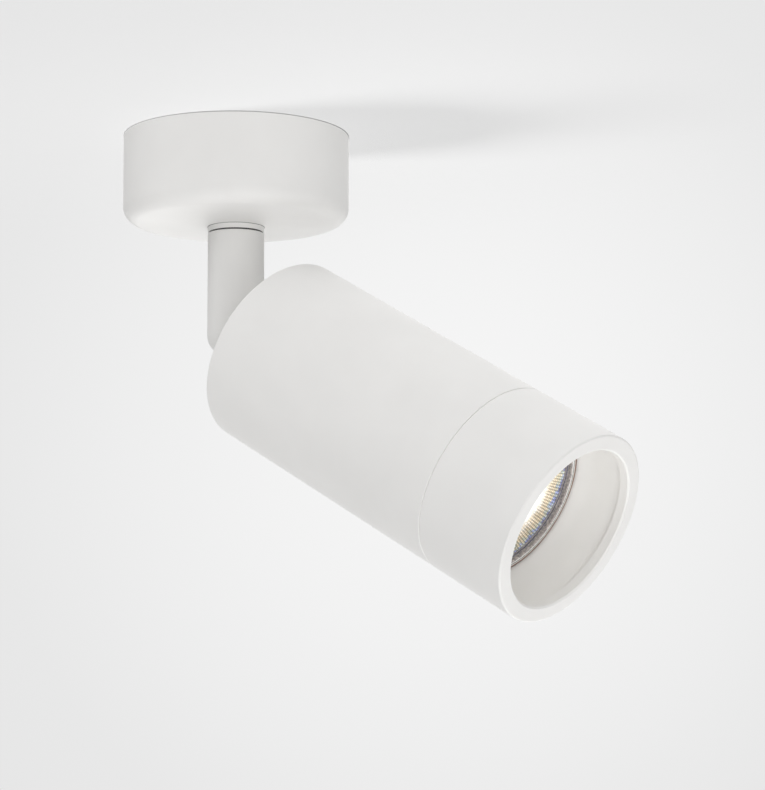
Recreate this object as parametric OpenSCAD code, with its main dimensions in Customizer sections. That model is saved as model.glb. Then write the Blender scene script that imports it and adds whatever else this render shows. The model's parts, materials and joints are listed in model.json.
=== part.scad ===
// Surface mounted ceiling spotlight in millimetres, +Z up, hanging below the ceiling plane.
// The origin is the centre of the ceiling face. The head tilts about the Y direction and points along +X.

/* [Canopy] */
// Outer diameter of the canopy
canopy_d = 72; // [68:1:90]
// Height of the canopy's side, down to the edge of its bottom
canopy_h = 28; // [27:0.5:40]
// How much lower the middle of the bottom lies than its edge
canopy_fall = 1.1; // [0.4:0.1:2]
// Radius of the canopy's bottom edge
canopy_edge_r = 5; // [3:0.5:8]
// Thickness of the canopy's side
canopy_wall = 2; // [1.5:0.1:3]
// Thickness of the canopy's bottom at its edge
canopy_floor = 2; // [1.6:0.1:3]

/* [Ceiling bracket] */
// Thickness of the bracket's steel
bracket_t = 1.5; // [1:0.1:2]
// Width of the bracket
bracket_w = 18; // [16:0.5:22]
// Distance between the bracket's two slots
slot_spacing = 42; // [36:1:44]
// Width of a slot
slot_w = 4.6; // [3.5:0.1:5.5]
// Length of a slot, end to end
slot_len = 9; // [6:0.5:11]
// Length of the bracket's bent ears
ear_drop = 11; // [9:0.5:14]
// Diameter of the canopy's set screw
set_screw_d = 4; // [3:0.5:5]
// Diameter of the hole for the supply cable, inside its grommet
cable_hole_d = 8; // [6:0.5:9]

/* [Swivel] */
// Height of the collar below the canopy
collar_h = 1.65; // [1:0.05:4]
// Thickness of the dark washer that the stem turns on
swivel_washer_t = 0.5; // [0.3:0.05:1]
// Diameter of the hollow threaded tube that the stem hangs on
nipple_d = 10; // [9:0.5:11]
// Bore of the hollow threaded tube
nipple_bore_d = 6.6; // [6:0.1:7.4]
// How far the hollow tube is screwed into the stem
nipple_grip = 12; // [8:0.5:16]
// Thickness of the thin locknut
nut_h = 4.5; // [3:0.25:6]
// Width of the locknut across its flats
nut_flats = 14; // [13:0.5:16]
// Distance from the swivel axis to the stop pin
stop_pin_place = 14; // [13:0.25:14.5]
// Diameter of the stop pin
stop_pin_d = 2; // [1.5:0.25:2.5]

/* [Stem] */
// Diameter of the stem
stem_d = 18; // [17:0.5:24]
// Distance from the ceiling to the tilt pivot
pivot_drop = 61; // [60.5:0.5:90]
// Length of the stem below the pivot
stem_tail = 9.4; // [8.5:0.1:12]
// Radius of the stem's rounded end
stem_end_r = 6.3; // [3:0.1:7]

/* [Tilt hinge] */
// Tilt of the head below the horizontal, at rest
tilt = 29.7; // [5:0.1:85]
// Diameter of the hinge screw
hinge_screw_d = 4; // [3:0.25:4.5]
// Thickness of each ear of the hinge yoke
yoke_t = 1.6; // [1.2:0.1:2]
// Radius of the yoke's round ends
yoke_r = 6; // [5:0.1:6.2]
// Gap between the yoke's ears, where the leads pass
yoke_gap = 4; // [3:0.1:4.4]
// Thickness of each friction washer
hinge_washer_t = 0.5; // [0.3:0.05:0.8]

/* [Head] */
// Diameter of the head
head_d = 60; // [58:0.5:62]
// Thickness of the head's side
head_wall = 2; // [1.6:0.1:2.4]
// Distance from the pivot to the head's rear face
rear_gap = 19.5; // [19:0.5:26]
// Length of the head's body, from its rear face to the seam
body_len = 91; // [88:0.5:110]
// Thickness of the head's rear wall
rear_wall = 5; // [4:0.25:6]
// Radius of the head's outer edges
head_edge_r = 0.6; // [0.5:0.1:1.6]

/* [Front ring] */
// Length of the front ring that shows
ring_len = 31.5; // [26:0.5:36]
// Gap of the seam between body and ring
seam_gap = 0.2; // [0.2:0.05:0.6]
// Opening of the front lip
lip_d = 50.2; // [48:0.1:52]
// Depth of the front lip
lip_depth = 3.2; // [2:0.1:5]
// Bore of the ring behind the lip
ring_bore_d = 52.8; // [52:0.1:54]
// Length of the spigot that plugs into the body
spigot_len = 12; // [10:0.5:14]
// Thickness of the spigot
spigot_t = 2; // [1.8:0.1:2.2]
// Cord diameter of the ring's O-ring
o_ring_cord_d = 1.2; // [1:0.05:1.3]

/* [Lamp] */
// Diameter of the lamp's front rim
lamp_d = 49.5; // [48:0.1:50]
// Depth of the lamp's front behind the front lip
lamp_recess = 19.5; // [16:0.5:22]
// Length of the lamp from its front to the end of its base
lamp_len = 47; // [45:0.5:50]
// Depth of the lamp's reflector bowl
bowl_depth = 31; // [28:0.5:33]
// Thickness of the reflector's glass
bowl_t = 1.6; // [1.2:0.1:2]
// Thickness of the clear front glass
front_glass_t = 1.6; // [1:0.1:2]
// Width of the rim that holds the front glass
rim_w = 1.3; // [1:0.1:1.6]
// Distance between the lamp's two pins
pin_spacing = 10; // [9.5:0.1:10.5]
// Diameter of a pin's neck
pin_neck_d = 3.1; // [2.8:0.1:3.3]
// Diameter of a pin's head
pin_head_d = 5; // [4.6:0.1:5.2]
// Length of a pin
pin_len = 7; // [6.5:0.1:7.5]
// Turn that frees the lamp
unlock_turn = 25; // [20:1:30]

/* [Lamp holder] */
// Diameter of the ceramic lamp holder
holder_d = 30; // [29:0.5:32]
// Width of the holder across its flat sides
holder_w = 22; // [21:0.5:24]
// Height of the holder
holder_h = 24; // [20:0.5:26]
// Distance between the holder's two screws
holder_screw_spacing = 23; // [22:0.25:24]
// Thickness of the holder's steel bracket
strap_t = 1.5; // [1:0.1:2]
// Width of the holder's steel bracket
strap_w = 14; // [12:0.5:16]

/* [Terminal block] */
// Number of poles
poles = 3; // [2:1:3]
// Pitch of the poles
pole_pitch = 8.2; // [7.5:0.1:8.5]
// Depth of the terminal block, along its wires
block_w = 13; // [12:0.25:13.5]
// Height of the terminal block
block_h = 12; // [10:0.5:12.5]

/* [Leads] */
// Diameter of an insulated lead
lead_d = 1.7; // [1.2:0.1:1.8]
// Wall of the woven sleeve round the leads in the stem
sleeve_t = 0.5; // [0.3:0.05:0.6]

/* [Hidden] */
// Roundness of large turned shapes
$fn = 96;
// Overrun of every cut
over = 1;
// Radial clearance of running and sliding fits
fit = 0.06;
// Gap between a loose piece and its seat
play = 0.3;
// Radial gap between a screw and the thread that holds it
thread_gap = 0.03;
// Diameter of the small screws and of their heads, their heads' height and hex socket
small_screw_d = 3;
small_head_d = 5.4;
small_head_h = 2;
small_socket_d = 2.4;
small_screw_len = 3.6;

// Levels of the canopy, swivel and stem, measured up from the ceiling
canopy_r = canopy_d / 2;
inner_r = canopy_r - canopy_wall;
inner_edge_r = canopy_edge_r - canopy_wall / 2;
floor_z = canopy_floor - canopy_h;
canopy_low_z = -canopy_h - canopy_fall;
collar_low_z = canopy_low_z - collar_h;
stem_top_z = collar_low_z - swivel_washer_t;
pivot_z = -pivot_drop;
stem_low_z = pivot_z - stem_tail;
stem_r = stem_d / 2;
nipple_r = nipple_d / 2;
nipple_low_z = stem_top_z - nipple_grip;

// Stack of washers and nut on the canopy's floor
floor_washer_t = 0.8;
stop_washer_t = 1;
disc_spring_t = 0.7;
disc_spring_h = 1.3;
stack_r = 8.5;
key_share = 0.85;
key_half = nipple_r * key_share;
swivel_washer_inset = 0.5;
stem_edge_r = 0.3;
stop_washer_z = floor_z + floor_washer_t;
disc_spring_z = stop_washer_z + stop_washer_t;
nut_z = disc_spring_z + disc_spring_h;
nut_top_z = nut_z + nut_h;
nipple_proud = 1.5;
nipple_top_z = nut_top_z + nipple_proud;
tab_w = 2;
tab_reach = stop_pin_place + stop_pin_d / 2;
stop_pin_sink = 1.6;
stop_pin_rise = 2.4;

// Bracket places
grommet_t = 1;
bracket_hole_r = cable_hole_d / 2 + grommet_t;
grommet_lip = 1;
ear_face_y = inner_r - play;
set_screw_share = 0.62;
set_screw_z = -ear_drop * set_screw_share;
set_screw_tip_y = ear_face_y - bracket_t - play;
set_screw_sink = 0.4;
set_socket_d = 2.2;
set_socket_depth = 2;
hook_z = -ear_drop / 2;
lug_w = 6;
lug_h = 3;
earth_screw_d = 4;
earth_head_d = 7;
earth_head_h = 2.6;
earth_y = bracket_hole_r + grommet_lip + earth_head_d / 2 + play;
earth_washer_t = 0.8;
earth_socket_d = 3;
lug_t = 0.8;
lug_neck = 1.5;
barrel_len = 4;
barrel_wall = 0.6;
barrel_r = lead_d / 2 + barrel_wall;
earth_head_top_z = -bracket_t - lug_t - earth_washer_t;

// Terminal block places
block_len = poles * pole_pitch;
block_back_gap = 5.4;
block_x = -inner_r + block_back_gap;
block_foot_h = 3;
block_foot_r = 3;
block_z = floor_z + block_foot_h;
block_mid_x = block_x + block_w / 2;
block_screw_y = poles % 2 == 0 ? 0 : pole_pitch / 2;
block_screw_d = 2.4;
block_head_d = 4.4;
block_head_h = 1.6;
block_socket_d = 1.8;
pole_places = [for (i = [0:poles - 1]) (i - (poles - 1) / 2) * pole_pitch];
earth_pole = pole_places[poles - 1];
lead_gap = 0.04;
earth_stack = lead_d / 2 + lead_gap;
entry_d = 2 * lead_d + play;
entry_share = 0.35;
entry_z = block_z + block_h * entry_share;
insert_wall = 0.6;
insert_r = entry_d / 2 + insert_wall;
tower_w = 5.2;
tower_h = 3;
tower_z = block_z + block_h - tower_h;
terminal_screw_d = 2.4;
terminal_screw_low = 0.6;
terminal_slot_w = 0.5;
terminal_slot_depth = 0.6;
lead_room = entry_d / 2;
terminal_screw_len = block_z + block_h - terminal_screw_low - entry_z - lead_room;

// Hinge places, measured from the pivot
hinge_screw_r = hinge_screw_d / 2;
yoke_out_y = yoke_gap / 2 + yoke_t;
slot_half_y = yoke_out_y + hinge_washer_t;
slot_back_gap = 0.5;
slot_back_x = yoke_r + slot_back_gap;
slot_top_gap = 1;
slot_top = yoke_r + slot_top_gap;
hinge_head_d = 7.4;
hinge_head_h = 2.1;
hinge_head_sink = 0.7;
hinge_head_y = stem_r - hinge_head_sink;
hinge_tip_cover = 1.5;
hinge_tip_y = stem_r - hinge_tip_cover;
hinge_socket_d = 2.8;
hinge_socket_share = 0.8;
spacer_wall = 1;
spacer_r = hinge_screw_r + spacer_wall;
stem_bore_gap = 0.2;
stem_bore_r = nipple_bore_d / 2 + stem_bore_gap;

// Head places along its own axis, measured from the pivot
head_r = head_d / 2;
body_r = head_r - head_wall;
rear_in = rear_gap + rear_wall;
seam = rear_gap + body_len;
ring_start = seam + seam_gap;
front = ring_start + ring_len;
seam_edge_r = 0.25;
yoke_base_t = 2;
yoke_base_half_y = 13;
yoke_base_w = 15;
yoke_screw_y = 10;
yoke_hole_w = 8;
rear_slot_play = 0.4;
strap_in_y = yoke_base_half_y + 2 * play;
strap_edge_gap = 3.9;
strap_foot = body_r - strap_edge_gap - strap_in_y - strap_t;
strap_screw_y = strap_in_y + strap_t + strap_foot / 2;
tapped_depth = 3.8;
head_earth_edge_gap = 10;
head_earth_x = body_r - head_earth_edge_gap;

// Front ring places
spigot_r = body_r - fit;
spigot_start = ring_start - spigot_len;
o_ring_share = 0.4;
o_ring_place = spigot_start + spigot_len * o_ring_share;
o_ring_groove_gap = 0.5;
o_ring_groove_w = o_ring_cord_d + o_ring_groove_gap;
o_ring_gap = 0.04;
o_ring_r = body_r - o_ring_cord_d / 2 - o_ring_gap;
lip_edge = 0.5;

// Lamp and holder places
lamp_front = front - lamp_recess;
lamp_r = lamp_d / 2;
bowl_low = lamp_front - bowl_depth;
neck_r = 8.5;
base_low = lamp_front - lamp_len;
base_d = 22;
base_w = 15;
pin_head_len = 2;
holder_top = base_low - play;
holder_low = holder_top - holder_h;
holder_face_t = pin_len - pin_head_len - 2 * play;
contact_t = 1;
chamber_depth = pin_head_len + 2 * play + contact_t;
chamber_low = holder_top - holder_face_t - chamber_depth;
holder_head_z = holder_top - small_head_h - play;
lead_hole_place = 4;
rim_h = 2.2;
bowl_floor_t = 2;
well_depth = 5;
capsule_r = 4.4;
capsule_len = 15;
capsule_rise = 3;
capsule_low = bowl_low + capsule_rise;
capsule_wall = 0.8;
seal_w = 8;
seal_t = 2.6;
filament_r = 0.8;
filament_leg_r = 0.25;
filament_len = 4;

// Leads
lead_dip = 1;
lead_r = lead_d / 2;
lead_turn_gap = 0.35;
lead_turn_r = lead_r + lead_turn_gap;
core_inset = 0.02;
core_place = 2 / sqrt(3) * lead_turn_r - core_inset;
sleeve_r = core_place + lead_r + play / 2;
sleeve_top_z = nipple_top_z - lead_dip - play;
sleeve_end_gap = 1;
sleeve_low_z = pivot_z + slot_top + sleeve_end_gap;
lead_entry = 3;
lead_reach = 6;
base_top = rear_in + yoke_base_t;
lead_row_gap = 0.5;
lead_row = lead_d + lead_row_gap;
head_lead_start = spacer_r + lead_d + play;
lead_sides = 8;
lead_steps = 14;
core_turns = [0, 120, 240];
core_colours = ["saddlebrown", "royalblue", "yellowgreen"];

// Frame of the head: +Z runs from the pivot to the front, Y is the tilt axis
module in_head() {
    translate([0, 0, pivot_z]) rotate([0, 90 + tilt, 0]) children();
}

// Ring between two radii, standing on z = 0
module washer(outer_r, bore_r, height) {
    difference() {
        cylinder(r = outer_r, h = height);
        translate([0, 0, -over]) cylinder(r = bore_r, h = height + 2 * over);
    }
}

// Quarter of a circle in the corner of a half section; turn 0 is the upper outer corner
module round_corner(r, turn) {
    intersection() {
        circle(r = r);
        rotate(turn) square(r);
    }
}

// Half section of a disc with its two outer edges rounded, for rotate_extrude
module disc_section(r, low, high, low_edge_r, high_edge_r) {
    translate([0, low + low_edge_r]) square([r, high - low - low_edge_r - high_edge_r]);
    translate([0, low]) square([r - low_edge_r, low_edge_r]);
    translate([r - low_edge_r, low + low_edge_r]) round_corner(low_edge_r, -90);
    translate([0, high - high_edge_r]) square([r - high_edge_r, high_edge_r]);
    translate([r - high_edge_r, high - high_edge_r]) round_corner(high_edge_r, 0);
}

// Pan head screw with a hex socket, its head above z = 0 and its shank below
module pan_screw(shank_d, head_d, head_h, shank_len, socket_d) {
    difference() {
        cylinder(d = head_d, h = head_h);
        translate([0, 0, head_h / 2]) cylinder(d = socket_d, h = head_h, $fn = 6);
    }
    translate([0, 0, -shank_len]) cylinder(d = shank_d, h = shank_len + head_h / 4);
}

function unit(v) = v / norm(v);
// Point at share t along the curve with four handles
function curve_at(p, t) = pow(1 - t, 3) * p[0] + 3 * t * pow(1 - t, 2) * p[1]
    + 3 * t * t * (1 - t) * p[2] + pow(t, 3) * p[3];
function curve(p) = [for (i = [0:lead_steps]) curve_at(p, i / lead_steps)];
// Route that leaves a along one way and reaches b along another, with a straight stub at each end
function route(a, a_way, a_stub, b, b_way, b_stub) = concat([a], curve([a + a_stub * a_way,
    a + (a_stub + lead_reach) * a_way, b - (b_stub + lead_reach) * b_way, b - b_stub * b_way]), [b]);

// Round tube along a list of points; side is a direction that the points never follow
module tube(path, radius, side) {
    last = len(path) - 1;
    sides = lead_sides;
    points = [for (i = [0:last])
        let (along = unit(path[min(i + 1, last)] - path[max(i - 1, 0)]),
            u = unit(cross(along, side)), v = cross(along, u))
        for (k = [0:sides - 1]) path[i] + radius * (cos(360 * k / sides) * u + sin(360 * k / sides) * v)];
    walls = [for (i = [0:last - 1]) for (k = [0:sides - 1])
        let (a = i * sides + k, b = i * sides + (k + 1) % sides)
        for (face = [[a, a + sides, b + sides], [a, b + sides, b]]) face];
    ends = [[for (k = [0:sides - 1]) k], [for (k = [0:sides - 1]) last * sides + sides - 1 - k]];
    polyhedron(points = points, faces = concat(walls, ends));
}

// Steel strap on the ceiling with two slots, a tapped ear and a hooked ear
module ceiling_bracket() {
    color("silver") difference() {
        union() {
            translate([-bracket_w / 2, -ear_face_y, -bracket_t])
                cube([bracket_w, 2 * ear_face_y, bracket_t]);
            translate([-bracket_w / 4, ear_face_y - bracket_t, -ear_drop])
                cube([bracket_w / 2, bracket_t, ear_drop]);
            translate([-bracket_w / 4, -ear_face_y, -ear_drop]) cube([bracket_w / 2, bracket_t, ear_drop]);
        }
        difference() {
            translate([0, 0, -ear_drop - over]) cylinder(r = canopy_r, h = ear_drop + 2 * over);
            translate([0, 0, -ear_drop - 2 * over]) cylinder(r = ear_face_y, h = ear_drop + 4 * over);
        }
        translate([0, 0, -bracket_t - over]) cylinder(r = bracket_hole_r, h = bracket_t + 2 * over);
        for (end = [-1, 1]) translate([0, end * slot_spacing / 2, -bracket_t - over]) {
            for (way = [-1, 1]) translate([0, way * (slot_len - slot_w) / 2, 0])
                cylinder(d = slot_w, h = bracket_t + 2 * over);
            translate([-slot_w / 2, -(slot_len - slot_w) / 2, 0])
                cube([slot_w, slot_len - slot_w, bracket_t + 2 * over]);
        }
        translate([0, earth_y, -bracket_t - over])
            cylinder(d = earth_screw_d + 2 * thread_gap, h = bracket_t + 2 * over);
        translate([0, ear_face_y + over, set_screw_z]) rotate([90, 0, 0])
            cylinder(d = set_screw_d + 2 * play, h = bracket_t + 2 * over);
        translate([-lug_w / 2 - play, -ear_face_y - over, hook_z - lug_h / 2 - play])
            cube([lug_w + 2 * play, bracket_t + 2 * over, lug_h + 2 * play]);
    }
}

// Rubber ring that lines the cable hole of the bracket
module cable_grommet() {
    color("dimgray") translate([0, 0, -bracket_t - grommet_lip]) difference() {
        union() {
            cylinder(r = bracket_hole_r - thread_gap, h = bracket_t + grommet_lip);
            cylinder(r = bracket_hole_r + grommet_lip, h = grommet_lip);
        }
        translate([0, 0, -over]) cylinder(d = cable_hole_d, h = bracket_t + grommet_lip + 2 * over);
    }
}

// Cast cup that covers the bracket, with a hook lug and a tapped hole in its side
module canopy() {
    color("whitesmoke") difference() {
        union() {
            rotate_extrude() disc_section(canopy_r, -canopy_h, over, canopy_edge_r, over / 2);
            translate([0, 0, canopy_low_z])
                cylinder(r1 = stem_r, r2 = canopy_r - canopy_edge_r, h = canopy_fall);
            translate([0, 0, canopy_low_z]) cylinder(r = stem_r, h = canopy_floor + canopy_fall);
        }
        cylinder(r = canopy_d, h = 2 * over);
        difference() {
            rotate_extrude() disc_section(inner_r, floor_z, over, inner_edge_r, over / 2);
            translate([-lug_w / 2, -inner_r - over, hook_z - lug_h / 2])
                cube([lug_w, bracket_t + 2 * play + over, lug_h]);
            translate([block_mid_x, block_screw_y, floor_z - over])
                cylinder(r = block_foot_r, h = block_foot_h + over);
        }
        translate([block_mid_x, block_screw_y, floor_z])
            cylinder(d = block_screw_d + 2 * thread_gap, h = block_foot_h + over);
        translate([-stop_pin_place, 0, floor_z - stop_pin_sink])
            cylinder(d = stop_pin_d + 2 * thread_gap, h = stop_pin_sink + over);
        translate([0, inner_r - over, set_screw_z]) rotate([-90, 0, 0])
            cylinder(d = set_screw_d + 2 * thread_gap, h = canopy_wall + 2 * over);
        translate([0, 0, canopy_low_z - over]) cylinder(r = nipple_r + fit, h = -canopy_low_z);
    }
}

// Headless screw in the canopy's side; its end enters the bracket's ear
module canopy_set_screw() {
    length = canopy_r - set_screw_sink - set_screw_tip_y;
    color("silver") translate([0, set_screw_tip_y, set_screw_z]) rotate([-90, 0, 0]) difference() {
        cylinder(d = set_screw_d, h = length);
        translate([0, 0, length - set_socket_depth]) cylinder(d = set_socket_d, h = length, $fn = 6);
    }
}

// Screw that holds the earth lug under the bracket
module earth_screw() {
    color("silver") translate([0, earth_y, earth_head_top_z]) mirror([0, 0, 1])
        pan_screw(earth_screw_d, earth_head_d, earth_head_h, -earth_head_top_z, earth_socket_d);
}

// Lock washer under the head of the earth screw
module earth_washer() {
    color("gainsboro") translate([0, earth_y, earth_head_top_z])
        washer(earth_head_d / 2, earth_screw_d / 2 + thread_gap, earth_washer_t);
}

// Flat ring lug with a crimped barrel; the ring lies on z = 0 and the barrel points along -X
module ring_lug(screw_d, ring_r) {
    translate([0, 0, -lug_t]) difference() {
        union() {
            cylinder(r = ring_r, h = lug_t);
            translate([-ring_r - lug_neck, -barrel_r, 0]) cube([ring_r + lug_neck, 2 * barrel_r, lug_t]);
        }
        translate([0, 0, -over]) cylinder(d = screw_d + 2 * thread_gap, h = lug_t + 2 * over);
    }
    translate([-ring_r - lug_neck, 0, -barrel_r]) rotate([0, -90, 0])
        washer(barrel_r, lead_r + thread_gap, barrel_len);
}

// Lug of the bracket's earth lead
module earth_lug() {
    color("gainsboro") translate([0, earth_y, -bracket_t]) ring_lug(earth_screw_d, earth_head_d / 2);
}

// Plastic terminal block on its foot, with one passage a pole
module terminal_block() {
    color("ivory") difference() {
        union() {
            translate([block_x, -block_len / 2, block_z]) cube([block_w, block_len, block_h - tower_h]);
            for (pole = pole_places, side = [-1, 1])
                translate([block_mid_x + side * block_w / 4 - tower_w / 2, pole - tower_w / 2,
                    tower_z - over])
                    cube([tower_w, tower_w, tower_h + over]);
        }
        for (pole = pole_places) {
            translate([block_x - over, pole, entry_z]) rotate([0, 90, 0])
                cylinder(r = insert_r + thread_gap, h = block_w + 2 * over);
            for (side = [-1, 1]) translate([block_mid_x + side * block_w / 4, pole, entry_z])
                cylinder(d = terminal_screw_d + 2 * thread_gap, h = block_h);
        }
        translate([block_mid_x, block_screw_y, block_z - over])
            cylinder(d = block_screw_d + 2 * thread_gap, h = block_h + 2 * over);
        translate([block_mid_x, block_screw_y, tower_z]) cylinder(d = block_head_d + play, h = block_h);
    }
}

// Brass tube of each pole
module terminal_inserts() {
    color("goldenrod") for (pole = pole_places) difference() {
        translate([block_x + play, pole, entry_z]) rotate([0, 90, 0])
            washer(insert_r, entry_d / 2, block_w - 2 * play);
        for (side = [-1, 1]) translate([block_mid_x + side * block_w / 4, pole, entry_z])
            cylinder(d = terminal_screw_d + 2 * thread_gap, h = block_h);
    }
}

// Two slotted screws a pole
module terminal_screws() {
    color("silver") for (pole = pole_places, side = [-1, 1])
        translate([block_mid_x + side * block_w / 4, pole, entry_z + lead_room]) difference() {
            cylinder(d = terminal_screw_d, h = terminal_screw_len);
            translate([-terminal_screw_d, -terminal_slot_w / 2, terminal_screw_len - terminal_slot_depth])
                cube([2 * terminal_screw_d, terminal_slot_w, terminal_slot_depth + over]);
        }
}

// Screw that holds the terminal block on the canopy's foot
module terminal_block_screw() {
    color("silver") translate([block_mid_x, block_screw_y, tower_z])
        pan_screw(block_screw_d, block_head_d, block_head_h, tower_z - block_z + block_foot_h - play,
            block_socket_d);
}

// Lead from a pole of the terminal block into the top of the hollow tube
module canopy_lead(pole, core, drop) {
    start = [block_x + block_w - lead_entry, pole, entry_z - drop];
    end = core_spot(core, nipple_top_z - lead_dip);
    tube(route(start, [1, 0, 0], lead_entry, end, [0, 0, -1], lead_dip), lead_r, [0, 1, 0]);
}

module canopy_lead_live() {
    color("saddlebrown") canopy_lead(pole_places[0], 2, 0);
}

module canopy_lead_neutral() {
    color("royalblue") canopy_lead(pole_places[1], 0, 0);
}

// Two earth leads share the last pole: one to the hollow tube, one to the bracket's lug
module canopy_lead_earth() {
    start = [block_x + block_w - lead_entry, earth_pole, entry_z + earth_stack];
    end = [-earth_head_d / 2 - lug_neck - barrel_len / 2, earth_y, -bracket_t - barrel_r];
    color("yellowgreen") {
        canopy_lead(earth_pole, 1, earth_stack);
        tube(route(start, [1, 0, 0], lead_entry, end, [1, 0, 0], barrel_len / 2 + lead_r), lead_r, [0, 1, 0]);
    }
}

// Plain ring between the canopy and the turning stem
module swivel_collar() {
    color("whitesmoke") difference() {
        rotate_extrude() disc_section(stem_r, collar_low_z, canopy_low_z, stem_edge_r, stem_edge_r / 2);
        translate([0, 0, collar_low_z - over]) cylinder(r = nipple_r + fit, h = collar_h + 2 * over);
    }
}

// Dark sliding washer that shows as a fine line above the stem
module swivel_washer() {
    color("dimgray") translate([0, 0, stem_top_z])
        washer(stem_r - swivel_washer_inset, nipple_r + fit, swivel_washer_t);
}

// Pin in the canopy's floor that stops the swivel before a full turn
module stop_pin() {
    color("silver") translate([-stop_pin_place, 0, floor_z - stop_pin_sink])
        cylinder(d = stop_pin_d, h = stop_pin_sink + stop_pin_rise);
}

// Fibre washer on the canopy's floor
module floor_washer() {
    color("saddlebrown") translate([0, 0, floor_z]) washer(stack_r, nipple_r + fit, floor_washer_t);
}

// Flat section of the hollow tube that keys the stop washer
module keyed_disc(r, height) {
    intersection() {
        cylinder(r = r, h = height);
        translate([-key_half, -r, 0]) cube([r + key_half, 2 * r, height]);
    }
}

// Washer with a tab that turns with the stem and meets the stop pin
module stop_washer() {
    color("silver") translate([0, 0, stop_washer_z]) difference() {
        union() {
            cylinder(r = stack_r, h = stop_washer_t);
            translate([0, -tab_w / 2, 0]) cube([tab_reach, tab_w, stop_washer_t]);
        }
        translate([0, 0, -over]) keyed_disc(nipple_r + thread_gap, stop_washer_t + 2 * over);
    }
}

// Conical spring that keeps the swivel stiff
module disc_spring() {
    color("silver") translate([0, 0, disc_spring_z]) rotate_extrude() polygon([
        [nipple_r + fit, disc_spring_h - disc_spring_t], [stack_r, 0],
        [stack_r, disc_spring_t], [nipple_r + fit, disc_spring_h]]);
}

module locknut() {
    color("gold") translate([0, 0, nut_z]) difference() {
        cylinder(r = nut_flats / sqrt(3), h = nut_h, $fn = 6);
        translate([0, 0, -over]) cylinder(r = nipple_r + thread_gap, h = nut_h + 2 * over);
    }
}

// Hollow threaded tube, screwed into the stem, with a flat along its upper end
module swivel_nipple() {
    color("gold") difference() {
        union() {
            translate([0, 0, nipple_low_z]) cylinder(r = nipple_r - thread_gap, h = floor_z - nipple_low_z);
            translate([0, 0, floor_z]) keyed_disc(nipple_r - thread_gap, nipple_top_z - floor_z);
        }
        translate([0, 0, nipple_low_z - over])
            cylinder(d = nipple_bore_d, h = nipple_top_z - nipple_low_z + 2 * over);
    }
}

// Turned stem with a rounded end, slotted for the hinge; the slot is open to the front and below
module stem() {
    color("gainsboro") difference() {
        rotate_extrude() disc_section(stem_r, stem_low_z, stem_top_z, stem_end_r, stem_edge_r);
        translate([0, 0, nipple_low_z]) cylinder(r = nipple_r, h = nipple_grip + over);
        translate([0, 0, pivot_z]) cylinder(r = stem_bore_r, h = nipple_low_z - pivot_z + over);
        translate([-slot_back_x, -slot_half_y, stem_low_z - over])
            cube([slot_back_x + stem_r + over, 2 * slot_half_y, stem_tail + slot_top + over]);
        translate([0, 0, pivot_z]) rotate([-90, 0, 0]) {
            translate([0, 0, -hinge_tip_y]) cylinder(r = hinge_screw_r + thread_gap, h = 2 * hinge_tip_y);
            translate([0, 0, hinge_head_y - hinge_head_h])
                cylinder(r1 = hinge_screw_r + thread_gap, r2 = hinge_head_d / 2 + thread_gap,
                    h = hinge_head_h);
            translate([0, 0, hinge_head_y]) cylinder(r = hinge_head_d / 2 + thread_gap, h = stem_r);
        }
    }
}

// Place of one of the three leads inside the hollow tube
function core_spot(core, z) = [core_place * cos(core_turns[core]), core_place * sin(core_turns[core]), z];

// Woven sleeve round the leads in the stem
module lead_sleeve() {
    color("white") translate([0, 0, sleeve_low_z])
        washer(sleeve_r + sleeve_t, sleeve_r, sleeve_top_z - sleeve_low_z);
}

// The three leads inside the sleeve
module stem_leads() {
    for (core = [0:len(core_turns) - 1]) color(core_colours[core])
        translate(core_spot(core, sleeve_low_z))
            cylinder(r = lead_r, h = sleeve_top_z - sleeve_low_z, $fn = 24);
}

// Countersunk screw that the head tilts on; its blind end stays inside the stem
module hinge_screw() {
    color("silver") translate([0, 0, pivot_z]) rotate([-90, 0, 0]) difference() {
        union() {
            translate([0, 0, -hinge_tip_y + play])
                cylinder(r = hinge_screw_r, h = hinge_tip_y - play + hinge_head_y);
            translate([0, 0, hinge_head_y - hinge_head_h])
                cylinder(r1 = hinge_screw_r, r2 = hinge_head_d / 2, h = hinge_head_h);
        }
        translate([0, 0, hinge_head_y - hinge_head_h * hinge_socket_share])
            cylinder(d = hinge_socket_d, h = hinge_head_h, $fn = 6);
    }
}

// Two friction washers between the yoke and the stem's slot
module hinge_washers() {
    color("dimgray") translate([0, 0, pivot_z]) rotate([-90, 0, 0])
        for (low = [-slot_half_y, yoke_out_y]) translate([0, 0, low])
            washer(yoke_r - play, hinge_screw_r + fit, hinge_washer_t);
}

// Tube that keeps the yoke's ears apart on the screw
module hinge_spacer() {
    color("silver") in_head() rotate([-90, 0, 0]) translate([0, 0, -yoke_gap / 2])
        washer(spacer_r, hinge_screw_r + fit, yoke_gap);
}

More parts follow.
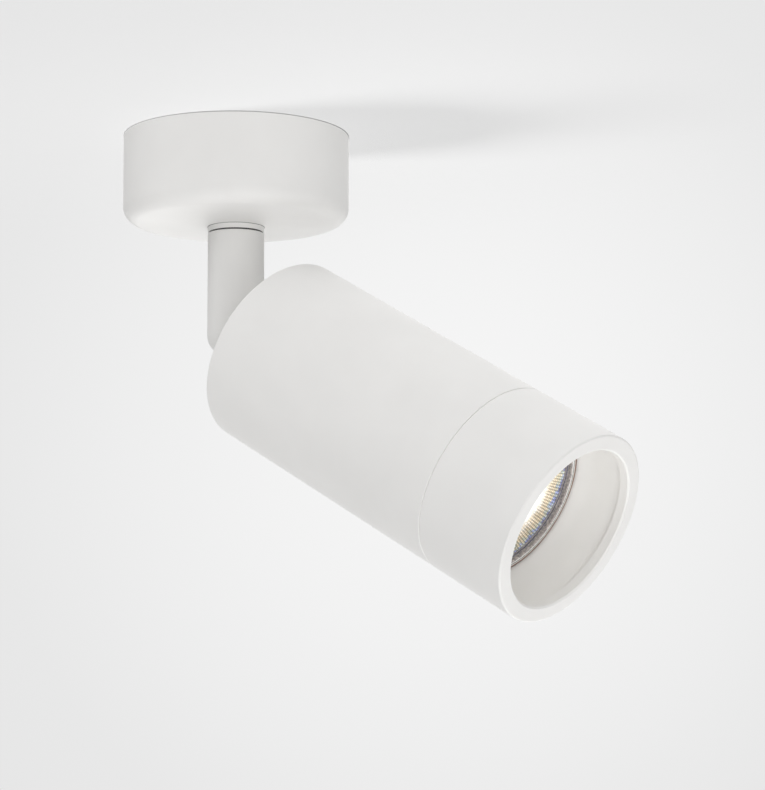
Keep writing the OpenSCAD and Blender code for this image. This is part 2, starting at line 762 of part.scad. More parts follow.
// Two steel ears through the head's rear wall on a base plate inside it
module hinge_yoke() {
    color("lightgray") in_head() difference() {
        union() {
            for (low = [-yoke_out_y, yoke_gap / 2]) translate([0, low, 0]) {
                rotate([-90, 0, 0]) cylinder(r = yoke_r, h = yoke_t);
                translate([-yoke_r, 0, 0]) cube([2 * yoke_r, yoke_t, rear_in + yoke_base_t]);
            }
            translate([-yoke_base_w / 2, -yoke_base_half_y, rear_in])
                cube([yoke_base_w, 2 * yoke_base_half_y, yoke_base_t]);
        }
        translate([0, -yoke_out_y - over, 0]) rotate([-90, 0, 0])
            cylinder(r = hinge_screw_r + fit, h = 2 * (yoke_out_y + over));
        translate([-yoke_hole_w / 2, -yoke_gap / 2, rear_in - over])
            cube([yoke_hole_w, yoke_gap, yoke_base_t + 2 * over]);
        for (side = [-1, 1]) translate([0, side * yoke_screw_y, rear_in - over])
            cylinder(d = small_screw_d + 2 * thread_gap, h = yoke_base_t + 2 * over);
    }
}

// Two screws through the yoke's base plate
module yoke_screws() {
    color("silver") in_head() for (side = [-1, 1])
        translate([0, side * yoke_screw_y, rear_in + yoke_base_t])
            pan_screw(small_screw_d, small_head_d, small_head_h, small_screw_len + yoke_base_t,
                small_socket_d);
}

// Tube of the head with its thick rear wall
module head_body() {
    color("white") in_head() difference() {
        rotate_extrude() disc_section(head_r, rear_gap, seam, head_edge_r, seam_edge_r);
        translate([0, 0, rear_in]) cylinder(r = body_r, h = body_len);
        translate([-yoke_r - rear_slot_play, -yoke_out_y - rear_slot_play, rear_gap - over])
            cube([2 * (yoke_r + rear_slot_play), 2 * (yoke_out_y + rear_slot_play), rear_wall + 2 * over]);
        for (side = [-1, 1], place = [yoke_screw_y, strap_screw_y])
            translate([0, side * place, rear_in - tapped_depth])
                cylinder(d = small_screw_d + 2 * thread_gap, h = tapped_depth + over);
        translate([-head_earth_x, 0, rear_in - tapped_depth])
            cylinder(d = small_screw_d + 2 * thread_gap, h = tapped_depth + over);
    }
}

// Bent strap that carries the lamp holder above the hinge yoke
module holder_strap() {
    color("silver") in_head() difference() {
        union() {
            for (side = [0, 1]) mirror([0, side, 0]) {
                translate([-strap_w / 2, strap_in_y, rear_in]) cube([strap_w, strap_t + strap_foot, strap_t]);
                translate([-strap_w / 2, strap_in_y, rear_in]) cube([strap_w, strap_t, holder_low - rear_in]);
            }
            translate([-strap_w / 2, -strap_in_y - strap_t, holder_low - strap_t])
                cube([strap_w, 2 * (strap_in_y + strap_t), strap_t]);
        }
        for (side = [-1, 1]) {
            translate([0, side * strap_screw_y, rear_in - over])
                cylinder(d = small_screw_d + 2 * thread_gap, h = strap_t + 2 * over);
            translate([0, side * holder_screw_spacing / 2, holder_low - strap_t - over])
                cylinder(d = small_screw_d + 2 * thread_gap, h = strap_t + 2 * over);
            translate([side * lead_hole_place, 0, holder_low - strap_t - over])
                cylinder(r = lead_r + play, h = strap_t + 2 * over);
        }
    }
}

// Two screws through the feet of the strap, and the one that holds the earth lug
module strap_screws() {
    color("silver") in_head() {
        for (side = [-1, 1]) translate([0, side * strap_screw_y, rear_in + strap_t])
            pan_screw(small_screw_d, small_head_d, small_head_h, small_screw_len + strap_t, small_socket_d);
        translate([-head_earth_x, 0, rear_in + lug_t])
            pan_screw(small_screw_d, small_head_d, small_head_h, small_screw_len + lug_t, small_socket_d);
    }
}

// Curved slot round the head's axis, from the locked place of a pin to the place where it comes out
module turning_slot(half_w, height) {
    rotate_extrude(angle = unlock_turn) translate([pin_spacing / 2 - half_w, 0]) square([2 * half_w, height]);
    for (turn = [0, unlock_turn]) rotate([0, 0, turn]) translate([pin_spacing / 2, 0, 0])
        cylinder(r = half_w, h = height);
}

// Ceramic lamp holder with two keyhole slots
module lamp_holder() {
    color("ivory") in_head() difference() {
        intersection() {
            translate([0, 0, holder_low]) cylinder(d = holder_d, h = holder_h);
            translate([-holder_w / 2, -holder_d, holder_low]) cube([holder_w, 2 * holder_d, holder_h]);
        }
        for (half_turn = [0, 180]) rotate([0, 0, half_turn]) {
            translate([0, 0, chamber_low]) turning_slot(pin_head_d / 2 + play, chamber_depth);
            translate([0, 0, chamber_low])
                turning_slot(pin_neck_d / 2 + play, holder_top - chamber_low + over);
            rotate([0, 0, unlock_turn]) translate([pin_spacing / 2, 0, chamber_low])
                cylinder(d = pin_head_d + 2 * play, h = holder_top - chamber_low + over);
            translate([lead_hole_place, 0, holder_low - over])
                cylinder(r = lead_r + play, h = chamber_low - holder_low + over);
            rotate([0, 0, 90]) translate([holder_screw_spacing / 2, 0, 0]) {
                translate([0, 0, holder_low - over])
                    cylinder(d = small_screw_d + 2 * play, h = holder_h + 2 * over);
                translate([0, 0, holder_head_z])
                    cylinder(d = small_head_d + 2 * play, h = holder_h);
            }
        }
    }
}

// Two long screws from the holder's face into the strap
module holder_screws() {
    color("silver") in_head() for (side = [-1, 1])
        translate([0, side * holder_screw_spacing / 2, holder_head_z])
            pan_screw(small_screw_d, small_head_d, small_head_h, holder_head_z - holder_low + strap_t,
                small_socket_d);
}

// Brass contacts under the heads of the pins
module holder_contacts() {
    color("goldenrod") in_head() for (side = [-1, 1])
        translate([side * pin_spacing / 2, 0, chamber_low])
            cylinder(r = pin_head_d / 2 - play, h = contact_t);
}

// Lead from the hinge through the base plate into the back of the lamp holder
module holder_lead(start_x, side) {
    end_z = chamber_low - play;
    in_head() tube(route([start_x, 0, head_lead_start], [0, 0, 1], base_top - head_lead_start,
        [side * lead_hole_place, 0, end_z], [0, 0, 1], end_z - holder_low + strap_t), lead_r, [0, 1, 0]);
}

module head_lead_live() {
    color("saddlebrown") holder_lead(0, -1);
}

module head_lead_neutral() {
    color("royalblue") holder_lead(lead_row, 1);
}

// Earth lead that turns back from the base plate to the lug on the rear wall
module head_lead_earth() {
    end = [-head_earth_x + small_head_d / 2 + lug_neck + barrel_len / 2, 0, rear_in + barrel_r];
    color("yellowgreen") in_head() tube(concat([[-lead_row, 0, head_lead_start]],
        curve([[-lead_row, 0, base_top], [-lead_row, 0, base_top + lead_reach],
            end + [barrel_len / 2 + lead_d, 0, lead_d], end + [barrel_len / 2 + lead_r, 0, 0]]), [end]),
            lead_r, [0, 1, 0]);
}

module head_earth_lug() {
    color("gainsboro") in_head() translate([-head_earth_x, 0, rear_in]) rotate([180, 0, 180])
        ring_lug(small_screw_d, small_head_d / 2);
}

// Front ring: the lip and the wide bore show, the spigot plugs into the body
module front_ring() {
    color("white") in_head() difference() {
        union() {
            rotate_extrude() disc_section(head_r, ring_start, front, seam_edge_r, head_edge_r);
            translate([0, 0, spigot_start]) cylinder(r = spigot_r, h = spigot_len + over);
        }
        translate([0, 0, spigot_start - over]) cylinder(r = spigot_r - spigot_t, h = spigot_len + 2 * over);
        translate([0, 0, ring_start]) cylinder(d = ring_bore_d, h = ring_len - lip_depth);
        translate([0, 0, ring_start]) cylinder(d = lip_d, h = ring_len + over);
        translate([0, 0, front - lip_edge]) cylinder(d1 = lip_d, d2 = lip_d + 2 * lip_edge, h = lip_edge);
        translate([0, 0, o_ring_place - o_ring_groove_w / 2])
            washer(spigot_r + over, o_ring_r - o_ring_cord_d / 2 - thread_gap, o_ring_groove_w);
    }
}

module o_ring() {
    color("dimgray") in_head() translate([0, 0, o_ring_place]) rotate_extrude()
        translate([o_ring_r, 0]) circle(d = o_ring_cord_d, $fn = 32);
}

// Radius of the bowl's outside at a share of its depth
function bowl_r(share) = neck_r + (lamp_r - neck_r) * sqrt(share);

// Glass reflector bowl with a flat floor round the capsule's hole
module lamp_reflector() {
    depth = bowl_depth - rim_h;
    steps = 12;
    outside = [for (i = [0:steps]) let (share = pow(i / steps, 2)) [bowl_r(share), depth * share]];
    inside = [for (i = [steps:-1:1]) let (share = pow(i / steps, 2))
        [bowl_r(share) - bowl_t, max(bowl_floor_t, depth * share)]];
    color("lightcyan") in_head() translate([0, 0, bowl_low]) rotate_extrude()
        polygon(concat(outside, inside, [[capsule_r + play, bowl_floor_t], [capsule_r + play, 0]]));
}

module lamp_front_glass() {
    color("aliceblue", 0.4) in_head() translate([0, 0, lamp_front - rim_h])
        cylinder(r = lamp_r - rim_w - thread_gap, h = front_glass_t);
}

// Rim that holds the front glass on the bowl
module lamp_rim() {
    color("gainsboro") in_head() translate([0, 0, lamp_front - rim_h]) washer(lamp_r, lamp_r - rim_w, rim_h);
}

// Ceramic base behind the bowl, with a well for the capsule's seal
module lamp_base() {
    color("ivory") in_head() difference() {
        intersection() {
            translate([0, 0, base_low]) cylinder(d = base_d, h = bowl_low - base_low);
            translate([-base_d, -base_w / 2, base_low]) cube([2 * base_d, base_w, bowl_low - base_low]);
        }
        translate([0, 0, bowl_low - well_depth]) cylinder(r = capsule_r + play, h = well_depth + over);
    }
}

module lamp_pins() {
    color("silver") in_head() for (side = [-1, 1])
        translate([side * pin_spacing / 2, 0, base_low - pin_len]) {
        cylinder(d = pin_neck_d, h = pin_len);
        cylinder(d = pin_head_d, h = pin_head_len);
    }
}

// Quartz capsule: a thin shell with a round end on a flat seal
module lamp_capsule() {
    color("white", 0.6) in_head() difference() {
        union() {
            translate([0, 0, capsule_low]) cylinder(r = capsule_r, h = capsule_len - capsule_r);
            translate([0, 0, capsule_low + capsule_len - capsule_r]) sphere(r = capsule_r);
            translate([-seal_w / 2, -seal_t / 2, bowl_low - well_depth])
                cube([seal_w, seal_t, well_depth + capsule_low - bowl_low + capsule_wall]);
        }
        translate([0, 0, capsule_low + capsule_wall])
            cylinder(r = capsule_r - capsule_wall, h = capsule_len - capsule_r - capsule_wall);
        translate([0, 0, capsule_low + capsule_len - capsule_r]) sphere(r = capsule_r - capsule_wall);
    }
}

// Coiled filament, drawn as its outer shape, on two legs that stand on the seal
module lamp_filament() {
    leg_len = capsule_len / 2;
    color("darkgray") in_head() translate([0, 0, capsule_low + capsule_wall]) {
        for (side = [-1, 1]) translate([side * filament_len / 2, 0, 0])
            cylinder(r = filament_leg_r, h = leg_len, $fn = 16);
        translate([-filament_len / 2 - filament_leg_r, 0, leg_len]) rotate([0, 90, 0])
            cylinder(r = filament_r, h = filament_len + 2 * filament_leg_r, $fn = 24);
    }
}

ceiling_bracket();
cable_grommet();
canopy();
canopy_set_screw();
earth_screw();
earth_washer();
earth_lug();
terminal_block();
terminal_inserts();
terminal_screws();
terminal_block_screw();
canopy_lead_live();
canopy_lead_neutral();
canopy_lead_earth();
swivel_collar();
swivel_washer();
stop_pin();
floor_washer();
stop_washer();
disc_spring();
locknut();
swivel_nipple();
stem();
lead_sleeve();
stem_leads();
hinge_screw();
hinge_washers();
hinge_spacer();
hinge_yoke();
yoke_screws();
head_body();
holder_strap();
strap_screws();
lamp_holder();
holder_screws();
holder_contacts();
head_lead_live();
head_lead_neutral();
head_lead_earth();
head_earth_lug();
front_ring();
o_ring();
lamp_reflector();
lamp_front_glass();
lamp_rim();
lamp_base();
lamp_pins();
lamp_capsule();
lamp_filament();
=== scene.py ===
# %% [markdown]
# A surface mounted ceiling spotlight, dressed for its portrait. The construction comes as finished
# solids in metres, with +Z up and the ceiling at z = 0. They keep their place and shape, and this
# lesson gives them their finishes, builds the small lamp in full detail, and sets up the ceiling,
# light and camera.

# %% Load the frame
import json
import math
import random

import bmesh
import bpy
from mathutils import Matrix, Vector


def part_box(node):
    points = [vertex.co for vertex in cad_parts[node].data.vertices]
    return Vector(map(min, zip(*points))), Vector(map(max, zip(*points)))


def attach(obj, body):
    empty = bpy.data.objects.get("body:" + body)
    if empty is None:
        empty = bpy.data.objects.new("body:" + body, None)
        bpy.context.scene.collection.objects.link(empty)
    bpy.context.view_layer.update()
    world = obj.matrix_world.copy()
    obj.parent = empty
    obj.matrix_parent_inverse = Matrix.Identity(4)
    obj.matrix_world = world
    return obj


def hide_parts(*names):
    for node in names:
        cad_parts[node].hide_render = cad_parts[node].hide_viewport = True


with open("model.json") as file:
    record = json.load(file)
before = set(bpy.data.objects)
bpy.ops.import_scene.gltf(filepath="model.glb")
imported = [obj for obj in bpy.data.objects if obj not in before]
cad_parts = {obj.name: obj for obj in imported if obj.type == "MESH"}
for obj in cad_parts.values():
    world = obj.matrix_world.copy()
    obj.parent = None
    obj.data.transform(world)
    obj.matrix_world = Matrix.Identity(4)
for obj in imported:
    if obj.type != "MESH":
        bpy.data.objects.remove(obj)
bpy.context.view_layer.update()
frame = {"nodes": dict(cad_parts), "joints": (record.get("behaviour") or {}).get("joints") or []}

# %% [markdown]
# The head is tilted, so its pieces are easiest to describe along its own axis. The joints give that
# axis: the head tilts about the pivot, and the front ring pulls off along the way that the head
# points.

# %% The head's own frame
MM = 0.001
joints = {joint["name"]: joint for joint in frame["joints"]}
pivot = Vector(joints["tilt"]["pos_m"])
head_way = Vector(joints["ring_pull"]["axis"]).normalized()
side_way = Vector(joints["tilt"]["axis"]).normalized()
down_way = side_way.cross(head_way)


def on_head(radius, turn, place):
    """Point round the head's axis at a radius, a turn in degrees and a place from the pivot."""
    angle = math.radians(turn)
    outwards = math.cos(angle) * down_way + math.sin(angle) * side_way
    return pivot + place * head_way + radius * outwards


def place_and_reach(point):
    """Place of a point along the head's axis, from the pivot, and its distance from that axis."""
    offset = point - pivot
    place = offset.dot(head_way)
    return place, (offset - place * head_way).length


def places_and_reaches(node):
    """Place and distance from the axis of every point of a solid."""
    return [place_and_reach(vertex.co) for vertex in frame["nodes"][node].data.vertices]


def along_head(node):
    """Lowest and highest place of a solid along the head's axis."""
    places = [place for place, reach in places_and_reaches(node)]
    return min(places), max(places)


def radius_at(node, low=-1.0, high=1.0):
    """Largest distance from the head's axis of a solid's points between two places along it."""
    return max(reach for place, reach in places_and_reaches(node) if low <= place <= high)


lamp_front = along_head("lamp_rim")[1]
lamp_r = radius_at("lamp_rim")
print("lamp front", round(lamp_front / MM, 2), "mm from the pivot")
print("lamp radius", round(lamp_r / MM, 2), "mm")

# %% [markdown]
# Colours are written as the hex values that a screen shows. The renderer works with linear light,
# so one function turns a hex value into linear numbers. A second small function adds a node to a
# material with its settings and links, which keeps each material short enough to read.

# %% Colours and nodes


def linear(hex_colour):
    """Linear red, green, blue and alpha of an sRGB hex colour."""
    values = [int(hex_colour[i:i + 2], 16) / 255 for i in (1, 3, 5)]
    lit = [v / 12.92 if v <= 0.04045 else ((v + 0.055) / 1.055) ** 2.4 for v in values]
    return (*lit, 1.0)


def add_node(tree, kind, settings=None, links=None):
    """Adds a node with its settings and links; stops fill a colour ramp."""
    node = tree.nodes.new(kind)
    for name, value in (settings or {}).items():
        if name == "stops":
            ramp = node.color_ramp
            while len(ramp.elements) < len(value):
                ramp.elements.new(1.0)
            for element, (place, colour) in zip(ramp.elements, value):
                element.position = place
                element.color = linear(colour)
        elif isinstance(name, int) or name in node.inputs:
            node.inputs[name].default_value = value
        else:
            setattr(node, name, value)
    for name, source in (links or {}).items():
        tree.links.new(source, node.inputs[name])
    return node


def new_material(name):
    """Empty material with an output; gives the material, its node tree and the output node."""
    material = bpy.data.materials.new(name)
    material.use_nodes = True
    material.node_tree.nodes.clear()
    return material, material.node_tree, add_node(material.node_tree, "ShaderNodeOutputMaterial")


def per_mm(size):
    """Texture scale whose features are about this many millimetres across."""
    return 1 / (size * MM)


print("sRGB #808080 is", round(linear("#808080")[0], 4), "linear")

# %% [markdown]
# The housing is aluminium with a fine textured polyester powder coat. The powder melts into a skin
# with a faint orange peel, which spreads highlights wide and leaves no mirror image. A very small
# bump makes that peel. Its real grain of about 0.3 mm would vanish in the render, so it is drawn at
# 0.7 mm.

# %% Powder coat
POWDER_GRAIN = 0.7
POWDER_CLOUD = 18
POWDER_DEPTH = 0.012 * MM


def powder_coat(name, light_hex, dark_hex):
    """Matte polyester powder coat on aluminium, drifting slowly between two close whites."""
    material, tree, output = new_material(name)
    place = add_node(tree, "ShaderNodeTexCoord").outputs["Object"]
    grain = add_node(tree, "ShaderNodeTexNoise", {"Scale": per_mm(POWDER_GRAIN), "Detail": 3.0},
                     {"Vector": place})
    cloud = add_node(tree, "ShaderNodeTexNoise", {"Scale": per_mm(POWDER_CLOUD), "Detail": 2.0},
                     {"Vector": place})
    tone = add_node(tree, "ShaderNodeValToRGB", {"stops": [(0.3, dark_hex), (0.7, light_hex)]},
                    {"Fac": cloud.outputs[0]})
    gloss = add_node(tree, "ShaderNodeMapRange", {"To Min": 0.52, "To Max": 0.66},
                     {"Value": grain.outputs[0]})
    peel = add_node(tree, "ShaderNodeBump", {"Strength": 0.5, "Distance": POWDER_DEPTH},
                    {"Height": grain.outputs[0]})
    shader = add_node(tree, "ShaderNodeBsdfPrincipled", {"IOR": 1.5},
                      {"Base Color": tone.outputs["Color"], "Roughness": gloss.outputs["Result"],
                       "Normal": peel.outputs["Normal"]})
    tree.links.new(shader.outputs["BSDF"], output.inputs["Surface"])
    return material


canopy_coat = powder_coat("powder_coat_on_cast_canopy", "#F0EFED", "#EDECEA")
# The stem's coat is a little darker than the canopy's: painted shade for the stem under canopy and
# head.
stem_coat = powder_coat("powder_coat_on_stem_with_painted_shade", "#EEEDEB", "#EBEAE8")
head_coat = powder_coat("powder_coat_on_extruded_head", "#F0EFED", "#EDECEA")
ring_coat = powder_coat("powder_coat_on_turned_ring", "#F1F0EE", "#EEEDEB")
print("powder coats:", canopy_coat.name, stem_coat.name, head_coat.name, ring_coat.name)

# %% [markdown]
# Inside, most pieces are bare or plated metal. A metal has no diffuse colour of its own, so its
# base colour is the tint of its reflection, and its roughness tells how it was made: rolled sheet
# has long faint streaks, a turned part has fine rings, and a tin plated lug is soft and even.

# %% Metals


def worked_metal(name, light_hex, dark_hex, roughness, streak_mm, stretch, depth_mm):
    """Metal whose tool marks are noise of a size in mm, stretched along X, Y and Z."""
    material, tree, output = new_material(name)
    place = add_node(tree, "ShaderNodeTexCoord").outputs["Object"]
    stretched = add_node(tree, "ShaderNodeMapping", {"Scale": stretch}, {"Vector": place})
    marks = add_node(tree, "ShaderNodeTexNoise", {"Scale": per_mm(streak_mm), "Detail": 4.0},
                     {"Vector": stretched.outputs["Vector"]})
    tone = add_node(tree, "ShaderNodeValToRGB", {"stops": [(0.25, dark_hex), (0.75, light_hex)]},
                    {"Fac": marks.outputs[0]})
    gloss = add_node(tree, "ShaderNodeMapRange",
                     {"To Min": roughness * 0.75, "To Max": roughness * 1.25},
                     {"Value": marks.outputs[0]})
    scratches = add_node(tree, "ShaderNodeBump", {"Strength": 0.4, "Distance": depth_mm * MM},
                         {"Height": marks.outputs[0]})
    shader = add_node(tree, "ShaderNodeBsdfPrincipled", {"Metallic": 1.0},
                      {"Base Color": tone.outputs["Color"], "Roughness": gloss.outputs["Result"],
                       "Normal": scratches.outputs["Normal"]})
    tree.links.new(shader.outputs["BSDF"], output.inputs["Surface"])
    return material


rolled_zinc = worked_metal("zinc_plated_rolled_steel", "#B4B7BA", "#8E9195", 0.36, 0.6,
                           (1, 0.08, 1), 0.01)
screw_zinc = worked_metal("zinc_plated_turned_steel", "#BFC2C5", "#9EA1A6", 0.28, 0.4,
                          (0.3, 0.3, 2), 0.01)
turned_brass = worked_metal("turned_brass", "#DDBB70", "#BE9748", 0.26, 0.4, (0.1, 0.1, 2), 0.012)
tinned_copper = worked_metal("tin_plated_copper", "#D6D5D1", "#B9B7B1", 0.38, 0.9, (1, 1, 1), 0.006)
drawn_tungsten = worked_metal("drawn_tungsten_wire", "#8C8B8E", "#6A696D", 0.4, 0.2,
                              (1, 1, 1), 0.003)
print("metals:", rolled_zinc.name, screw_zinc.name, turned_brass.name, tinned_copper.name)

# %% [markdown]
# The small insulating parts are moulded, pressed or extruded. Natural nylon lets a little light in,
# so it has some subsurface scattering. Rubber and black nylon are dull and dark. The ceramic is
# unglazed steatite: chalky, with tiny dark specks from pressing.

# %% Plastics, rubber, fibre and ceramic


def moulded(name, light_hex, dark_hex, roughness, grain_mm, depth_mm, settings):
    """Non-metal with a grain of a size in mm; settings go straight on the shader."""
    material, tree, output = new_material(name)
    place = add_node(tree, "ShaderNodeTexCoord").outputs["Object"]
    grain = add_node(tree, "ShaderNodeTexNoise", {"Scale": per_mm(grain_mm), "Detail": 4.0},
                     {"Vector": place})
    tone = add_node(tree, "ShaderNodeValToRGB", {"stops": [(0.3, dark_hex), (0.7, light_hex)]},
                    {"Fac": grain.outputs[0]})
    gloss = add_node(tree, "ShaderNodeMapRange",
                     {"To Min": roughness * 0.85, "To Max": roughness * 1.15},
                     {"Value": grain.outputs[0]})
    skin = add_node(tree, "ShaderNodeBump", {"Strength": 0.5, "Distance": depth_mm * MM},
                    {"Height": grain.outputs[0]})
    shader = add_node(tree, "ShaderNodeBsdfPrincipled", settings,
                      {"Base Color": tone.outputs["Color"], "Roughness": gloss.outputs["Result"],
                       "Normal": skin.outputs["Normal"]})
    tree.links.new(shader.outputs["BSDF"], output.inputs["Surface"])
    return material


nylon_glow = {"IOR": 1.53, "Subsurface Weight": 0.25, "Subsurface Radius": (1.0, 0.8, 0.6),
              "Subsurface Scale": 0.6 * MM}
natural_nylon = moulded("natural_nylon_moulding", "#F1EDDF", "#E7E2D1", 0.42, 1.2, 0.01, nylon_glow)
black_nylon = moulded("black_nylon_washer_sheet", "#3A3938", "#2C2B2A", 0.45, 0.8, 0.008,
                      {"IOR": 1.53})
red_fibre = moulded("vulcanised_red_fibre", "#9C4A34", "#7F3626", 0.6, 0.5, 0.02, {"IOR": 1.5})
black_rubber = moulded("moulded_black_rubber", "#2E2D2C", "#232221", 0.7, 0.9, 0.015, {"IOR": 1.52})
steatite = moulded("pressed_steatite_ceramic", "#F2EFE7", "#DEDACF", 0.62, 0.35, 0.02, {"IOR": 1.6})
glass_sleeve = moulded("woven_glass_fibre_sleeve", "#F4F2EB", "#CFCBC0", 0.7, 0.45, 0.08,
                       {"IOR": 1.5})
brown_silicone = moulded("brown_silicone_insulation", "#6E4226", "#5F371E", 0.5, 1.5, 0.006,
                         {"IOR": 1.41})
blue_silicone = moulded("blue_silicone_insulation", "#2F6FC4", "#275FAC", 0.5, 1.5, 0.006,
                        {"IOR": 1.41})
print("insulators:", natural_nylon.name, steatite.name, glass_sleeve.name)

# %% [markdown]
# An earth lead is green with a yellow stripe that winds slowly round it. Two colours meet at hard
# edges in a wave pattern, tilted against the lead so that the stripe seems to wind. The pattern
# repeats about three times in one unit of its scale, so the scale is a third of what the pitch asks
# for.

# %% Earth insulation
STRIPE_PITCH = 5
STRIPE_SLANT = (0.5, 0.9, 0.3)
WAVE_REPEATS = 3


def striped_insulation(name, first_hex, second_hex):
    """Silicone insulation in two colours, in slanted bands."""
    material, tree, output = new_material(name)
    place = add_node(tree, "ShaderNodeTexCoord").outputs["Object"]
    slanted = add_node(tree, "ShaderNodeMapping", {"Rotation": STRIPE_SLANT}, {"Vector": place})
    wave = add_node(tree, "ShaderNodeTexWave", {"Scale": per_mm(STRIPE_PITCH) / WAVE_REPEATS},
                    {"Vector": slanted.outputs["Vector"]})
    bands = add_node(tree, "ShaderNodeValToRGB", {"stops": [(0.48, first_hex), (0.52, second_hex)]},
                     {"Fac": wave.outputs["Fac"]})
    shader = add_node(tree, "ShaderNodeBsdfPrincipled", {"IOR": 1.41, "Roughness": 0.5},
                      {"Base Color": bands.outputs["Color"]})
    tree.links.new(shader.outputs["BSDF"], output.inputs["Surface"])
    return material


earth_silicone = striped_insulation("green_and_yellow_insulation", "#3E8F3A", "#E8CF2E")
print("earth insulation:", earth_silicone.name)

# %% [markdown]
# Every solid takes its finish through its own material slot. The mesh itself stays as it is, and
# the calls below are the only place where solids and finishes meet.

# %% Dress the solids


def dress(material, *nodes):
    """Puts one material on solids of the frame."""
    for node in nodes:
        solid = frame["nodes"][node]
        if not solid.material_slots:
            solid.data.materials.append(material)
        for slot in solid.material_slots:
            slot.material = material


dress(canopy_coat, "canopy", "swivel_collar")
dress(stem_coat, "stem")
dress(head_coat, "head_body")
dress(ring_coat, "front_ring")
dress(rolled_zinc, "ceiling_bracket", "earth_washer", "stop_washer", "hinge_spacer", "hinge_yoke",
      "holder_strap")
dress(screw_zinc, "canopy_set_screw", "earth_screw", "terminal_screws", "terminal_block_screw",
      "stop_pin", "disc_spring", "hinge_screw", "yoke_screws", "strap_screws", "holder_screws")
dress(turned_brass, "terminal_inserts", "locknut", "swivel_nipple", "holder_contacts")
dress(tinned_copper, "earth_lug", "head_earth_lug", "lamp_pins")
dress(natural_nylon, "terminal_block")
dress(black_nylon, "swivel_washer", "hinge_washers")
dress(red_fibre, "floor_washer")
dress(black_rubber, "cable_grommet", "o_ring")
dress(steatite, "lamp_holder", "lamp_base")
dress(glass_sleeve, "lead_sleeve")
dress(brown_silicone, "canopy_lead_live", "head_lead_live", "stem_leads")
dress(blue_silicone, "canopy_lead_neutral", "head_lead_neutral")
dress(earth_silicone, "canopy_lead_earth", "head_lead_earth")
print("dressed", sum(1 for o in frame["nodes"].values() if o.active_material), "solids")

# %% [markdown]
# The lamp is a reflector lamp: a pressed glass bowl with a dichroic mirror coating inside, a front
# glass, and a small quartz capsule with a tungsten coil. It is the only thing that glitters, so it
# is rebuilt in detail. Turned pieces start as a half section that is spun round the head's axis.

# %% Turning and rounding
TURNS = 144
CORNER_STEPS = 5
AXIS_R = 1e-7
SHARP_EDGE = math.radians(32)


def rounded(points, radius, keep_ends=False):
    """Section with each corner cut by a small curve; keep_ends leaves an open section's ends."""
    made = []
    for i, corner in enumerate(points):
        if keep_ends and i in (0, len(points) - 1):
            made.append(tuple(corner))
            continue
        middle = Vector(corner)
        before = Vector(points[i - 1])
        after = Vector(points[(i + 1) % len(points)])
        start = middle + (before - middle).normalized() * radius
        end = middle + (after - middle).normalized() * radius
        for step in range(CORNER_STEPS + 1):
            t = step / CORNER_STEPS
            made.append(tuple((1 - t) ** 2 * start + 2 * t * (1 - t) * middle + t * t * end))
    return made


def as_piece(name, mesh_maker, body, slot, materials, *replaced):
    """Turns a bmesh into a smooth piece with sharp edges kept, on its body."""
    bmesh.ops.recalc_face_normals(mesh_maker, faces=mesh_maker.faces)
    for face in mesh_maker.faces:
        face.smooth = True
    for edge in mesh_maker.edges:
        if len(edge.link_faces) == 2 and edge.calc_face_angle(0) > SHARP_EDGE:
            edge.smooth = False
    mesh = bpy.data.meshes.new(name)
    mesh_maker.to_mesh(mesh)
    mesh_maker.free()
    piece = bpy.data.objects.new(name, mesh)
    bpy.context.scene.collection.objects.link(piece)
    for material in materials:
        mesh.materials.append(material)
    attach(piece, body)
    if replaced:
        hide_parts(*replaced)
    print(name, len(mesh.polygons), "faces")
    return piece


def on_stem(radius, turn, height):
    """Point at a radius and a turn in degrees round the swivel's axis, at a height."""
    angle = math.radians(turn)
    return Vector((radius * math.cos(angle), radius * math.sin(angle), height))


def turned(section, closed=True, spot=on_head):
    """Half section of (radius, place) points, spun round the head's axis or the swivel's."""
    made = bmesh.new()
    rings = []
    for radius, place in section:
        count = TURNS if radius > AXIS_R else 1
        rings.append([made.verts.new(spot(radius, 360 * k / count, place)) for k in range(count)])
    following = rings[1:] + rings[:1] if closed else rings[1:]
    for ring, after in zip(rings, following):
        for k in range(TURNS):
            corners = [ring[k % len(ring)], ring[(k + 1) % len(ring)],
                       after[(k + 1) % len(after)], after[k % len(after)]]
            made.faces.new(list(dict.fromkeys(corners)))
    return made


print("a turned piece has", TURNS, "steps round the axis")
